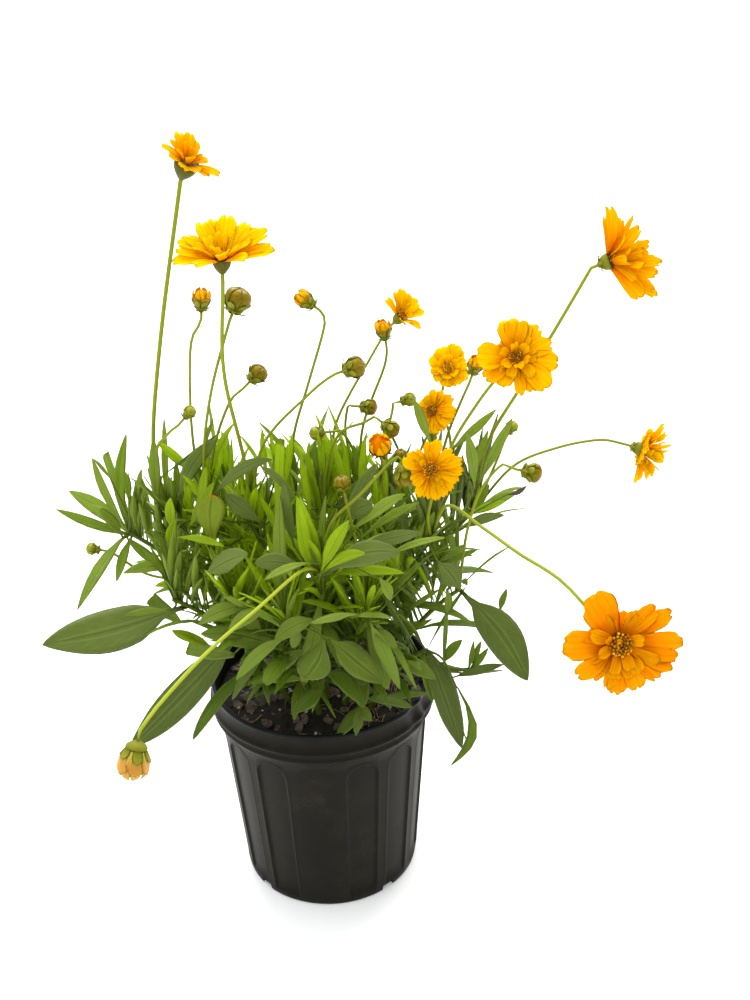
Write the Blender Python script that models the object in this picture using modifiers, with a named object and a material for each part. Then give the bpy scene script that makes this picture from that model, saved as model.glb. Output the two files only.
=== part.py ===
# Potted early sunrise tickseed: a black nursery pot of potting mix with a clump of
# leafy stems, thin flower stalks, golden semi-double blooms and round buds.
# The origin is the centre of the pot's base, +Z is up, and the front is -Y.

import math
import random

import bmesh
import bpy
from mathutils import Matrix, Vector
from mathutils.bvhtree import BVHTree

# Neighbouring pieces keep this gap where they rest on each other
GAP = 0.0003

# Pot, from its size at the rim, the foot and the collar
POT_HEIGHT = 0.168
LIP_RADIUS = 0.0808
LIP_INNER_RADIUS = 0.0774
COLLAR_RADIUS = 0.0825
COLLAR_HEIGHT = 0.030
RIDGE_DROP = 0.015
WALL_TOP_RADIUS = 0.0758
BASE_RADIUS = 0.0650
WALL = 0.0022
FLOOR = 0.0025
FLUTES = 14
FLUTE_COLUMNS = 4
FLUTE_DEPTH = 0.0010
FLUTE_ARCH = 0.007
ARCH_SHOULDER = 0.45
ARCH_DROP = 0.004
FLUTE_EDGE = 0.0015
FLUTE_FOOT = 0.006
PLAIN_FLUTE_ANGLE = math.radians(-97)
DRAIN_HOLES = 4
DRAIN_SIZE = (0.012, 0.012, 0.009)

# Potting mix, with the holes that the stems stand in and the bark chips on it
SOIL_TOP = 0.155
SOIL_CROWN = 0.003
SOIL_RING = 0.045
SOIL_SIDES = 24
HOLE_RADIUS = 0.0034
HOLE_DEPTH = 0.014
HOLE_SIDES = 5
CHIPS = 6
CHIP_TURN = 2.4
CHIP_REACH = (0.034, 0.066)
CHIP_LENGTH = (0.005, 0.009)
CHIP_THICKNESS = 0.003
CHIP_TILT = 0.25

# Stems and stalks
STEM_RADIUS = 0.0021
STEM_STEPS = 4
STEM_TAPER = 0.4
STEM_RISE = 0.65
STALK_RADIUS = 0.0011
BLOOM_STALK_STEPS = 2
BUD_STALK_STEPS = 1
NECK = 0.006
STALK_SINK = 0.0015

# Leaves: narrow ones have a single fold line across, broad ones have three
LEAF_THICKNESS = 0.0009
LEAF_FOLD = 0.06
LEAF_ROOT = 0.16
LEAF_TRIES = 18
LEAF_CLEARANCE = 0.0005
ROOT_FREE = 0.14
NARROW_WIDTH = 0.0104
BROAD_WIDTH = 0.0165
NARROW_SECTIONS = (0.0, 0.50)
LEAF_SECTIONS = (0.0, 0.36, 0.74)
BROAD_SECTIONS = (0.0, 0.26, 0.52, 0.80)

# Filler leaves, from the foot of a stem to its top
LOW_LEAF = {"length": 0.066, "width": 0.0150, "climb": 12, "rise": 0.010}
TOP_LEAF = {"length": 0.058, "width": 0.0078, "climb": 68, "rise": 0.003}
LOWEST_PAIR = 0.30
PAIR_TURN = math.radians(83)
SPREAD_DROP = 26
INWARD_CLIMB = 12
STEEPEST = math.radians(84)
LOWEST_CLIMB = math.radians(-8)
SEED = 11

# Flower heads. A cup is a little wider on a wide bloom
CUP_RADIUS = 0.0030
CUP_SHARE = 0.07
CUP_HEIGHT = 0.0048
BRACTS = 6
BRACT_REACH = 1.75
BRACT_HEIGHT = 0.72
LAYER_HEIGHT = 0.0014
LAYER_STEP = 0.0011
PETAL_THICKNESS = 0.0010
PETAL_TEETH = ((0.95, -0.72), (0.90, -0.30), (1.0, 0.0), (0.90, 0.30), (0.95, 0.72))
OUTER_PETALS = {"lift": (2, 14), "length": 1.0, "width": 0.62, "room": 0.80,
                "rings": ((0.45, 0.62), (0.82, 1.0))}
INNER_PETALS = {"lift": (30, 46), "length": 0.72, "width": 0.44, "room": 0.62,
                "rings": ((0.72, 1.0),)}
CLOSING = 28
DISC_SIDES = 8
DISC_SHARE = 0.75

# Buds
BUD_SIDES = 7
BUD_CUP_HEIGHT = 0.0036
BUD_CUP_SHARE = 0.72
ROUND_BUD = 1.75
OPENING_BUD = 2.3
LARGE_BUD = 0.008

# A fused node's faces are merged where they lie this nearly flat
FLAT_ANGLE = math.radians(2)

GREEN = (0.19, 0.34, 0.05)
GOLD = (0.98, 0.60, 0.02)
DISC_BROWN = (0.50, 0.20, 0.03)
BRONZE = (0.36, 0.26, 0.07)
OPENING = (0.86, 0.48, 0.05)

# Each leafy stem: where it leaves the soil, its top, its leaf pairs, and how far its
# leaves spread (0 upright, 1 wide open)
STEMS = {
    "stem_far_left": ((-0.034, 0.012), (-0.127, 0.008, 0.286), 3, 0.7),
    "stem_left_tall": ((-0.026, 0.000), (-0.098, 0.000, 0.300), 4, 0.5),
    "stem_left_front": ((-0.026, -0.016), (-0.096, -0.044, 0.262), 2, 0.8),
    "stem_front_left": ((-0.012, -0.026), (-0.054, -0.060, 0.258), 2, 0.8),
    "stem_left_mid": ((-0.019, 0.010), (-0.070, -0.008, 0.304), 4, 0.4),
    "stem_left_inner": ((-0.010, -0.006), (-0.042, -0.018, 0.302), 4, 0.4),
    "stem_mid_left": ((-0.008, 0.018), (-0.014, 0.026, 0.302), 4, 0.3),
    "stem_mid": ((0.003, 0.004), (0.008, 0.002, 0.302), 4, 0.3),
    "stem_mid_back": ((0.009, 0.028), (0.022, 0.058, 0.294), 4, 0.5),
    "stem_mid_right": ((0.015, 0.014), (0.034, 0.030, 0.298), 4, 0.3),
    "stem_right_inner": ((0.018, -0.004), (0.052, -0.006, 0.300), 4, 0.3),
    "stem_right_mid": ((0.028, 0.012), (0.084, 0.014, 0.298), 4, 0.4),
    "stem_right_front": ((0.027, -0.014), (0.078, -0.034, 0.290), 4, 0.5),
    "stem_far_right": ((0.038, 0.004), (0.112, 0.004, 0.290), 4, 0.6),
    "stem_right_low": ((0.038, -0.018), (0.096, -0.038, 0.252), 3, 0.8),
    "stem_rim_right": ((0.033, -0.032), (0.072, -0.052, 0.214), 2, 0.9),
    "stem_front": ((0.002, -0.018), (0.004, -0.062, 0.284), 3, 0.5),
    "stem_front_right": ((0.015, -0.026), (0.032, -0.066, 0.256), 3, 0.7),
    "stem_front_near": ((-0.004, -0.036), (-0.022, -0.080, 0.262), 3, 0.8),
    "stem_back_left": ((-0.020, 0.032), (-0.066, 0.072, 0.286), 5, 0.7),
    "stem_back": ((0.003, 0.040), (0.000, 0.098, 0.282), 5, 0.7),
    "stem_back_right": ((0.026, 0.034), (0.074, 0.074, 0.284), 5, 0.7),
}

# Each bloom: its stem, how far up that stem the stalk leaves, the points that the
# stalk passes, the middle of the petals, the way it faces, its radius, and the
# number of petals in each layer from the outside in
BLOOMS = {
    "bloom_01": ("stem_left_tall", 1.0, ((-0.103, 0.002, 0.350), (-0.089, -0.010, 0.433)),
                 (-0.061, -0.020, 0.546), (0.42, -0.30, 0.86), 0.0190, (6, 4)),
    "bloom_02": ("stem_left_inner", 1.0, ((-0.041, -0.024, 0.349), (-0.046, -0.054, 0.426)),
                 (-0.042, -0.090, 0.509), (0.02, 0.16, 0.98), 0.0290, (9, 7)),
    "bloom_03": ("stem_mid_back", 1.0, ((0.021, 0.054, 0.335), (0.050, 0.060, 0.388)),
                 (0.069, 0.060, 0.419), (0.62, -0.35, 0.70), 0.0150, (7,)),
    "bloom_04": ("stem_right_mid", 1.0, ((0.086, 0.012, 0.345),),
                 (0.095, 0.014, 0.392), (0.05, -0.80, 0.60), 0.0145, (6, 4)),
    "bloom_05": ("stem_right_front", 1.0, ((0.087, -0.044, 0.354), (0.104, -0.066, 0.402)),
                 (0.123, -0.090, 0.441), (0.02, -0.86, 0.50), 0.0240, (8, 4)),
    "bloom_06": ("stem_far_right", 1.0, ((0.119, 0.000, 0.340), (0.140, -0.012, 0.388),
                 (0.158, -0.022, 0.428)),
                 (0.193, -0.030, 0.480), (0.90, -0.22, 0.38), 0.0290, (8, 6)),
    "bloom_07": ("stem_right_mid", 1.0, ((0.094, 0.002, 0.330), (0.094, 0.000, 0.352)),
                 (0.084, -0.012, 0.376), (-0.50, -0.72, 0.48), 0.0180, (8,)),
    "bloom_08": ("stem_right_front", 1.0, ((0.073, -0.062, 0.322), (0.074, -0.084, 0.352)),
                 (0.071, -0.104, 0.378), (-0.04, -0.90, 0.42), 0.0190, (9, 4)),
    "bloom_09": ("stem_far_right", 1.0, ((0.143, 0.005, 0.332), (0.167, 0.005, 0.336),
                 (0.196, 0.002, 0.339)),
                 (0.225, 0.000, 0.331), (0.90, -0.12, -0.32), 0.0205, (8, 4)),
    "bloom_10": ("stem_right_front", 1.0, ((0.084, -0.072, 0.336), (0.098, -0.130, 0.352),
                 (0.112, -0.180, 0.362), (0.128, -0.226, 0.370)),
                 (0.147, -0.272, 0.362), (0.12, -0.92, 0.30), 0.0310, (10, 6)),
}
CLOSED_BLOOM = "bloom_01"

# Each bud: its stem, how far up the stalk leaves, the stalk's points, the middle of
# the bud, the way it points, its radius, and its state
BUDS = {
    "bud_01": ("stem_left_mid", 1.0, ((-0.076, -0.002, 0.357), (-0.071, -0.010, 0.425)),
               (-0.061, -0.010, 0.458), (0.10, 0.00, 1.00), 0.0056, "opening"),
    "bud_02": ("stem_left_mid", 1.0, ((-0.070, -0.026, 0.357), (-0.060, -0.044, 0.410)),
               (-0.036, -0.060, 0.474), (0.40, -0.05, 0.90), 0.0073, "bronze"),
    "bud_03": ("stem_left_mid", 1.0, ((-0.063, -0.012, 0.352), (-0.050, -0.010, 0.386)),
               (-0.029, -0.010, 0.407), (0.70, -0.05, 0.70), 0.0058, "bronze"),
    "bud_04": ("stem_left_tall", 1.0, ((-0.094, -0.012, 0.352), (-0.086, -0.022, 0.381)),
               (-0.073, -0.030, 0.392), (0.60, -0.05, 0.70), 0.0040, "green"),
    "bud_05": ("stem_mid_left", 1.0, ((-0.012, 0.022, 0.345), (-0.003, 0.020, 0.384),
               (0.010, 0.014, 0.428)),
               (0.003, 0.010, 0.447), (-0.75, -0.05, 0.65), 0.0054, "opening"),
    "bud_06": ("stem_left_inner", 1.0, ((-0.032, -0.024, 0.362), (0.000, -0.040, 0.405)),
               (0.030, -0.050, 0.423), (0.93, -0.05, 0.30), 0.0068, "bronze"),
    "bud_07": ("stem_mid_right", 1.0, ((0.038, 0.040, 0.340), (0.054, 0.038, 0.385)),
               (0.053, 0.030, 0.416), (-0.15, -0.10, 0.98), 0.0058, "opening"),
    "bud_08": ("stem_mid_right", 1.0, ((0.031, 0.020, 0.330), (0.023, 0.010, 0.352)),
               (0.004, 0.000, 0.357), (-0.90, -0.20, 0.05), 0.0044, "green"),
    "bud_09": ("stem_mid_right", 1.0, ((0.026, 0.032, 0.338), (0.028, 0.032, 0.360)),
               (0.044, 0.028, 0.361), (0.90, -0.15, -0.05), 0.0056, "bronze"),
    "bud_10": ("stem_mid", 1.0, ((0.010, -0.008, 0.332), (0.020, -0.014, 0.362),
               (0.036, -0.022, 0.373)),
               (0.054, -0.030, 0.370), (0.60, -0.20, -0.50), 0.0058, "bronze"),
    "bud_11": ("stem_right_inner", 1.0, ((0.052, 0.002, 0.345), (0.057, 0.004, 0.370)),
               (0.069, 0.002, 0.377), (0.80, -0.10, 0.20), 0.0046, "green"),
    "bud_12": ("stem_right_inner", 1.0, ((0.047, -0.026, 0.325), (0.047, -0.046, 0.352)),
               (0.044, -0.062, 0.375), (-0.10, -0.60, 0.75), 0.0068, "opening"),
    "bud_13": ("stem_right_inner", 1.0, ((0.062, 0.006, 0.312),),
               (0.062, 0.010, 0.333), (0.10, -0.25, 0.95), 0.0044, "bronze"),
    "bud_14": ("stem_front", 1.0, ((0.010, -0.072, 0.326), (0.030, -0.082, 0.353),
               (0.046, -0.088, 0.374)),
               (0.056, -0.092, 0.367), (0.10, -0.25, -0.95), 0.0062, "bronze"),
    "bud_15": ("stem_front_right", 1.0, ((0.028, -0.068, 0.300), (0.023, -0.070, 0.332)),
               (0.019, -0.070, 0.356), (-0.15, -0.15, 0.97), 0.0048, "bronze"),
    "bud_16": ("stem_right_mid", 1.0, ((0.093, 0.006, 0.345), (0.101, -0.006, 0.376)),
               (0.109, -0.020, 0.408), (0.25, -0.20, 0.94), 0.0050, "opening"),
    "bud_17": ("stem_far_right", 1.0, ((0.127, 0.014, 0.318),),
               (0.140, 0.020, 0.345), (0.45, 0.05, 0.88), 0.0042, "green"),
    "bud_18": ("stem_right_low", 1.0, ((0.100, -0.046, 0.300), (0.108, -0.052, 0.334),
               (0.121, -0.056, 0.354)),
               (0.140, -0.060, 0.350), (0.92, -0.15, -0.20), 0.0062, "bronze"),
    "bud_19": ("stem_front", 1.0, ((-0.008, -0.088, 0.305), (-0.036, -0.136, 0.309),
               (-0.064, -0.180, 0.310), (-0.088, -0.216, 0.304)),
               (-0.103, -0.240, 0.283), (-0.25, -0.30, -0.92), 0.0088, "opening"),
    "bud_20": ("stem_far_left", 0.6, ((-0.117, 0.016, 0.246), (-0.138, 0.012, 0.266)),
               (-0.155, 0.010, 0.274), (-0.92, -0.05, 0.25), 0.0042, "green"),
}

# Leaves that stand out at the edges and the front: their stem, how far up it, the
# tip, the rise of the arch, the width and the roll about the midrib in degrees
LONE_LEAVES = (
    ("stem_left_front", 0.90, (-0.183, -0.060, 0.243), 0.012, 0.029, -55),
    ("stem_front_left", 0.86, (-0.131, -0.088, 0.176), 0.014, 0.026, -45),
    ("stem_front_left", 0.40, (-0.089, -0.088, 0.178), 0.014, 0.011, 0),
    ("stem_far_left", 1.00, (-0.160, -0.045, 0.258), 0.008, 0.012, -10),
    ("stem_far_left", 0.98, (-0.135, -0.024, 0.266), 0.005, 0.007, 20),
    ("stem_far_left", 0.96, (-0.173, 0.000, 0.312), 0.004, 0.009, 10),
    ("stem_far_left", 0.98, (-0.168, 0.030, 0.310), 0.004, 0.012, -25),
    ("stem_far_left", 1.00, (-0.147, 0.020, 0.340), 0.002, 0.008, 0),
    ("stem_far_left", 1.00, (-0.123, 0.030, 0.352), 0.003, 0.010, 10),
    ("stem_far_left", 0.97, (-0.141, 0.045, 0.330), 0.002, 0.008, 0),
    ("stem_left_tall", 1.00, (-0.106, 0.010, 0.357), 0.001, 0.008, 0),
    ("stem_right_low", 1.00, (0.137, -0.080, 0.203), 0.014, 0.025, 45),
    ("stem_right_low", 0.97, (0.098, -0.066, 0.272), 0.006, 0.015, 0),
    ("stem_rim_right", 1.00, (0.092, -0.084, 0.153), 0.010, 0.023, -10),
    ("stem_rim_right", 0.70, (0.100, -0.062, 0.136), 0.016, 0.010, 20),
    ("stem_rim_right", 0.90, (0.130, -0.030, 0.178), 0.004, 0.008, 0),
    ("stem_front_near", 0.88, (-0.060, -0.092, 0.212), 0.006, 0.012, 10),
    ("stem_front", 0.80, (-0.013, -0.090, 0.218), 0.006, 0.020, 0),
    ("stem_front_right", 0.90, (0.042, -0.092, 0.212), 0.006, 0.019, 0),
    ("stem_front_right", 0.95, (0.054, -0.088, 0.204), 0.006, 0.009, 10),
    ("stem_rim_right", 0.94, (0.070, -0.078, 0.196), 0.004, 0.010, 0),
    ("stem_front_right", 0.55, (0.025, -0.086, 0.194), 0.004, 0.012, 0),
    ("stem_front_near", 0.35, (-0.021, -0.082, 0.184), 0.004, 0.009, 0),
    ("stem_front_near", 0.55, (-0.050, -0.068, 0.202), 0.004, 0.009, 0),
    ("stem_front", 1.00, (0.056, -0.084, 0.302), 0.004, 0.013, 35),
    ("stem_front_left", 1.00, (-0.042, -0.086, 0.308), 0.004, 0.016, 20),
    ("stem_front", 1.00, (0.000, -0.080, 0.340), 0.001, 0.010, 0),
    ("stem_front", 0.98, (0.026, -0.074, 0.332), 0.001, 0.007, 0),
    ("stem_front_near", 1.00, (-0.020, -0.064, 0.346), 0.002, 0.009, 0),
    ("stem_far_right", 1.00, (0.129, 0.010, 0.362), 0.002, 0.008, 0),
    ("stem_far_right", 0.98, (0.139, -0.004, 0.326), 0.003, 0.008, 0),
    ("stem_right_mid", 1.00, (0.082, 0.022, 0.366), 0.001, 0.007, 0),
)


def clear_scene():
    for item in list(bpy.data.objects):
        bpy.data.objects.remove(item, do_unlink=True)


def make_collection(name):
    group = bpy.data.collections.new(name)
    bpy.context.scene.collection.children.link(group)
    return group


def add_object(name, data, group):
    item = bpy.data.objects.new(name, data)
    group.objects.link(item)
    return item


def paint(item, colour, roughness):
    finish = bpy.data.materials.new(item.name + "_finish")
    finish.use_nodes = True
    shader = finish.node_tree.nodes["Principled BSDF"]
    shader.inputs["Base Color"].default_value = (*colour, 1.0)
    shader.inputs["Roughness"].default_value = roughness
    shader.inputs["Metallic"].default_value = 0.0
    item.data.materials.clear()
    item.data.materials.append(finish)


# A closed solid through sections of unlike shape; a section of one point is a tip
def loft(name, sections, group):
    shape = bmesh.new()
    rows = [[shape.verts.new(point) for point in section] for section in sections]
    for near, far in zip(rows, rows[1:]):
        count = max(len(near), len(far))
        for index in range(count):
            after = (index + 1) % count
            corners = (
                near[index * len(near) // count],
                near[after * len(near) // count],
                far[after * len(far) // count],
                far[index * len(far) // count],
            )
            shape.faces.new(list(dict.fromkeys(corners)))
    for end in (rows[0], rows[-1]):
        if len(end) > 2:
            shape.faces.new(end)
    return finish_shape(name, shape, group)


def finish_shape(name, shape, group):
    bmesh.ops.triangulate(shape, faces=shape.faces[:])
    bmesh.ops.recalc_face_normals(shape, faces=shape.faces[:])
    mesh = bpy.data.meshes.new(name)
    shape.to_mesh(mesh)
    shape.free()
    return add_object(name, mesh, group)


# A turned shape: an open profile of radius and height, spun about Z
def turned(name, profile, sides, group):
    mesh = bpy.data.meshes.new(name)
    points = [(radius, 0.0, height) for radius, height in profile]
    mesh.from_pydata(points, [(i, i + 1) for i in range(len(points) - 1)], [])
    item = add_object(name, mesh, group)
    spin = item.modifiers.new("spin", "SCREW")
    spin.steps = sides
    spin.render_steps = sides
    spin.use_merge_vertices = True
    spin.merge_threshold = 0.00001
    return item


# The evaluated mesh of a curve or a modified object, as a plain mesh object, with its
# faces split into triangles where it will be joined to others
def solid(item, group, split=False):
    name = item.name
    bpy.context.view_layer.update()
    depsgraph = bpy.context.evaluated_depsgraph_get()
    mesh = bpy.data.meshes.new_from_object(item.evaluated_get(depsgraph))
    place = item.matrix_world.copy()
    bpy.data.objects.remove(item, do_unlink=True)
    shape = bmesh.new()
    shape.from_mesh(mesh)
    bmesh.ops.remove_doubles(shape, verts=shape.verts[:], dist=0.00001)
    if split:
        bmesh.ops.triangulate(shape, faces=shape.faces[:])
    bmesh.ops.recalc_face_normals(shape, faces=shape.faces[:])
    shape.to_mesh(mesh)
    shape.free()
    result = add_object(name, mesh, group)
    result.matrix_world = place
    return result


def tube(name, points, radii, group):
    curve = bpy.data.curves.new(name, "CURVE")
    curve.dimensions = "3D"
    curve.bevel_depth = 1.0
    curve.bevel_resolution = 0
    curve.use_fill_caps = True
    spline = curve.splines.new("POLY")
    spline.points.add(len(points) - 1)
    for knot, point, radius in zip(spline.points, points, radii):
        knot.co = (*point, 1.0)
        knot.radius = radius
    return solid(add_object(name, curve, group), group, split=True)


# Leaves only the largest of the separate bodies in a shape
def drop_scraps(shape):
    waiting = set(shape.verts)
    bodies = []
    while waiting:
        body, edge = set(), [waiting.pop()]
        while edge:
            corner = edge.pop()
            body.add(corner)
            for link in corner.link_edges:
                other = link.other_vert(corner)
                if other in waiting:
                    waiting.remove(other)
                    edge.append(other)
        bodies.append(body)
    bodies.sort(key=len)
    for body in bodies[:-1]:
        bmesh.ops.delete(shape, geom=list(body), context="VERTS")


# Joins the pieces of one node by one Boolean union, and removes the loose pieces
def fuse(base, pieces, solver="EXACT"):
    loose = make_collection("loose_pieces")
    for piece in pieces:
        for owner in list(piece.users_collection):
            owner.objects.unlink(piece)
        loose.objects.link(piece)
    joint = base.modifiers.new("fuse", "BOOLEAN")
    joint.operation = "UNION"
    joint.operand_type = "COLLECTION"
    joint.collection = loose
    joint.solver = solver
    bpy.context.view_layer.update()
    depsgraph = bpy.context.evaluated_depsgraph_get()
    mesh = bpy.data.meshes.new_from_object(base.evaluated_get(depsgraph))
    base.modifiers.clear()
    base.data = mesh
    shape = bmesh.new()
    shape.from_mesh(mesh)
    bmesh.ops.dissolve_limit(
        shape, angle_limit=FLAT_ANGLE, verts=shape.verts[:], edges=shape.edges[:]
    )
    bmesh.ops.triangulate(shape, faces=shape.faces[:])
    drop_scraps(shape)
    shape.to_mesh(mesh)
    shape.free()
    for piece in list(loose.objects):
        bpy.data.objects.remove(piece, do_unlink=True)
    bpy.data.collections.remove(loose)


def facing(origin, direction):
    turn = Vector(direction).to_track_quat("Z", "Y")
    return Matrix.Translation(origin) @ turn.to_matrix().to_4x4()


def apply_place(item, place):
    item.data.transform(place)
    return item


# Points of a smooth curve through the given ones
def smooth_path(points, steps):
    points = [Vector(point) for point in points]
    ends = [points[0] * 2 - points[1]] + points + [points[-1] * 2 - points[-2]]
    path = []
    for before, start, end, after in zip(ends, ends[1:], ends[2:], ends[3:]):
        for step in range(steps):
            t = step / steps
            path.append(0.5 * (
                2 * start
                + (end - before) * t
                + (2 * before - 5 * start + 4 * end - after) * t ** 2
                + (3 * start - before - 3 * end + after) * t ** 3
            ))
    path.append(points[-1])
    return path


def wall_radius(height):
    share = height / (POT_HEIGHT - COLLAR_HEIGHT)
    return BASE_RADIUS + (WALL_TOP_RADIUS - BASE_RADIUS) * share


def pot_profile():
    collar_foot = POT_HEIGHT - COLLAR_HEIGHT
    arch = collar_foot - ARCH_DROP
    inner = [
        (0.0, FLOOR),
        (wall_radius(FLOOR) - WALL, FLOOR),
        (WALL_TOP_RADIUS - WALL, collar_foot),
        (LIP_INNER_RADIUS, POT_HEIGHT - 0.001),
    ]
    outer = [
        (LIP_RADIUS - 0.0012, POT_HEIGHT),
        (LIP_RADIUS, POT_HEIGHT - 0.0025),
        (COLLAR_RADIUS, POT_HEIGHT - RIDGE_DROP),
        (COLLAR_RADIUS - 0.0020, POT_HEIGHT - RIDGE_DROP - 0.008),
        (WALL_TOP_RADIUS, collar_foot),
        (wall_radius(arch), arch),
        (wall_radius(arch - FLUTE_EDGE), arch - FLUTE_EDGE),
        (wall_radius(FLUTE_FOOT), FLUTE_FOOT),
        (BASE_RADIUS - 0.0010, 0.0),
        (0.0, 0.0),
    ]
    return inner + outer


# Presses the arch-topped flutes into the outer wall, all but the plain one
def press_flutes(mesh):
    arch = POT_HEIGHT - COLLAR_HEIGHT - ARCH_DROP
    columns = FLUTES * FLUTE_COLUMNS
    for corner in mesh.vertices:
        radius = math.hypot(corner.co.x, corner.co.y)
        height = corner.co.z
        on_wall = FLUTE_FOOT - 0.001 < height < arch + 0.001
        if not on_wall or radius < wall_radius(height) - WALL / 2:
            continue
        angle = math.atan2(corner.co.y, corner.co.x)
        column = round((angle - PLAIN_FLUTE_ANGLE) / math.tau * columns) + FLUTE_COLUMNS // 2
        place = column % FLUTE_COLUMNS
        is_plain = (column // FLUTE_COLUMNS) % FLUTES == 0
        if height > FLUTE_FOOT + 0.001 and place != 2:
            corner.co.z -= FLUTE_ARCH * (1.0 if place == 0 else ARCH_SHOULDER)
        pressed = height < arch - 0.001 and place != 0 and not is_plain
        scale = (wall_radius(corner.co.z) - (FLUTE_DEPTH if pressed else 0.0)) / radius
        corner.co.x *= scale
        corner.co.y *= scale


def build_pot(parts, cutters):
    pot = solid(turned("pot", pot_profile(), FLUTES * FLUTE_COLUMNS, parts), parts)
    press_flutes(pot.data)
    for index in range(DRAIN_HOLES):
        angle = PLAIN_FLUTE_ANGLE + math.pi / DRAIN_HOLES + index * math.tau / DRAIN_HOLES
        reach = BASE_RADIUS - 0.003
        shape = bmesh.new()
        bmesh.ops.create_cube(shape, size=1.0)
        bmesh.ops.scale(shape, vec=DRAIN_SIZE, verts=shape.verts[:])
        notch = finish_shape("drain_cutter_%d" % (index + 1), shape, cutters)
        notch.location = (reach * math.cos(angle), reach * math.sin(angle), 0.001)
        notch.rotation_euler.z = angle
        notch.hide_render = True
        notch.display_type = "WIRE"
        cut = pot.modifiers.new("drain_hole", "BOOLEAN")
        cut.operation = "DIFFERENCE"
        cut.object = notch
    paint(pot, (0.024, 0.023, 0.020), 0.42)
    return pot


# One flat chip of bark lying half sunk in the surface
def bark_chip(index, chance, group):
    angle = index * CHIP_TURN
    reach = chance.uniform(*CHIP_REACH)
    length = chance.uniform(*CHIP_LENGTH)
    shape = bmesh.new()
    bmesh.ops.create_cone(
        shape, cap_ends=True, segments=5, radius1=length, radius2=length * 0.7,
        depth=CHIP_THICKNESS,
    )
    chip = finish_shape("chip", shape, group)
    height = soil_height(reach) + 0.0004
    place = Matrix.Translation((reach * math.cos(angle), reach * math.sin(angle), height))
    tilt = Matrix.Rotation(chance.uniform(0, CHIP_TILT), 4, "X")
    turn = Matrix.Rotation(chance.uniform(0, math.tau), 4, "Z")
    return apply_place(chip, place @ turn @ tilt @ Matrix.Diagonal((1.0, 0.6, 1.0, 1.0)))


def soil_height(radius):
    return SOIL_TOP - SOIL_CROWN * (radius / WALL_TOP_RADIUS) ** 2


def build_soil(parts, cutters):
    edge = WALL_TOP_RADIUS - WALL - GAP
    collar_foot = POT_HEIGHT - COLLAR_HEIGHT
    slope = (LIP_INNER_RADIUS - WALL_TOP_RADIUS + WALL) / (COLLAR_HEIGHT - 0.001)
    rim_height = SOIL_TOP - SOIL_CROWN
    profile = [
        (0.0, SOIL_TOP),
        (SOIL_RING, soil_height(SOIL_RING)),
        (edge + slope * (rim_height - collar_foot), rim_height),
        (edge, collar_foot),
        (wall_radius(FLOOR) - WALL - GAP, FLOOR + GAP),
        (0.0, FLOOR + GAP),
    ]
    soil = solid(turned("soil", profile, SOIL_SIDES, parts), parts)
    chance = random.Random(SEED)
    fuse(soil, [bark_chip(index, chance, parts) for index in range(CHIPS)])
    holes = make_collection("stem_holes")
    for (x, y), *_ in STEMS.values():
        shape = bmesh.new()
        bmesh.ops.create_cone(
            shape, cap_ends=True, segments=HOLE_SIDES, radius1=HOLE_RADIUS,
            radius2=HOLE_RADIUS, depth=HOLE_DEPTH * 2,
        )
        hole = finish_shape("stem_hole", shape, holes)
        hole.location = (x, y, SOIL_TOP)
        hole.hide_render = True
        hole.display_type = "WIRE"
    cut = soil.modifiers.new("stem_holes", "BOOLEAN")
    cut.operation = "DIFFERENCE"
    cut.operand_type = "COLLECTION"
    cut.collection = holes
    paint(soil, (0.050, 0.032, 0.022), 0.9)
    return soil


# A point on a stem, which rises first and then leans, at 0 on the soil and 1 at the top
def stem_point(stem, share):
    (x, y), top, *_ = STEMS[stem]
    foot = Vector((x, y, SOIL_TOP))
    top = Vector(top)
    bend = foot.lerp(top, 1 - STEM_RISE)
    bend.z = foot.z + (top.z - foot.z) * STEM_RISE
    return foot * (1 - share) ** 2 + bend * 2 * share * (1 - share) + top * share ** 2


# The same on the stem's tube, which runs straight from one of its points to the next
def tube_point(stem, share):
    step = min(int(share * STEM_STEPS), STEM_STEPS - 1)
    start, end = stem_point(stem, step / STEM_STEPS), stem_point(stem, (step + 1) / STEM_STEPS)
    return start.lerp(end, share * STEM_STEPS - step)


def build_stem(stem, parts):
    foot = stem_point(stem, 0.0)
    buried = foot - Vector((0, 0, HOLE_DEPTH - GAP))
    above = foot + Vector((0, 0, 0.003))
    points = [buried, above] + [
        stem_point(stem, step / STEM_STEPS) for step in range(1, STEM_STEPS + 1)
    ]
    radii = [STEM_RADIUS * (1.1 - STEM_TAPER * index / STEM_STEPS) for index in range(len(points))]
    return tube(stem, points, radii, parts)


# A flower stalk that leaves a stem, passes the given points and ends along the axis
# of its head, a little inside the green cup
def build_stalk(name, stem, share, via, cup_base, axis, radius, steps, parts):
    start = tube_point(stem, share)
    neck = cup_base - axis * NECK
    points = smooth_path([start, *via, neck], steps) + [cup_base + axis * STALK_SINK]
    radii = [radius * (1.1 - 0.2 * index / len(points)) for index in range(len(points))]
    return tube(name + "_stalk", points, radii, parts)


# The green cup under a head: a funnel with a star of narrow bracts, flat on top
def green_cup(name, radius, height, place, parts):
    star = []
    for index in range(BRACTS * 2):
        turn = math.tau * (index + 0.5) / (BRACTS * 2)
        is_tip = index % 2 == 0
        reach = radius * (BRACT_REACH if is_tip else 0.95)
        star.append(Vector((reach * math.cos(turn), reach * math.sin(turn),
                            height * (BRACT_HEIGHT if is_tip else 1.0))))
    sections = [[Vector((0, 0, -0.001))], star, [Vector((0, 0, height))]]
    return apply_place(loft(name + "_cup", sections, parts), place)


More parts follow.
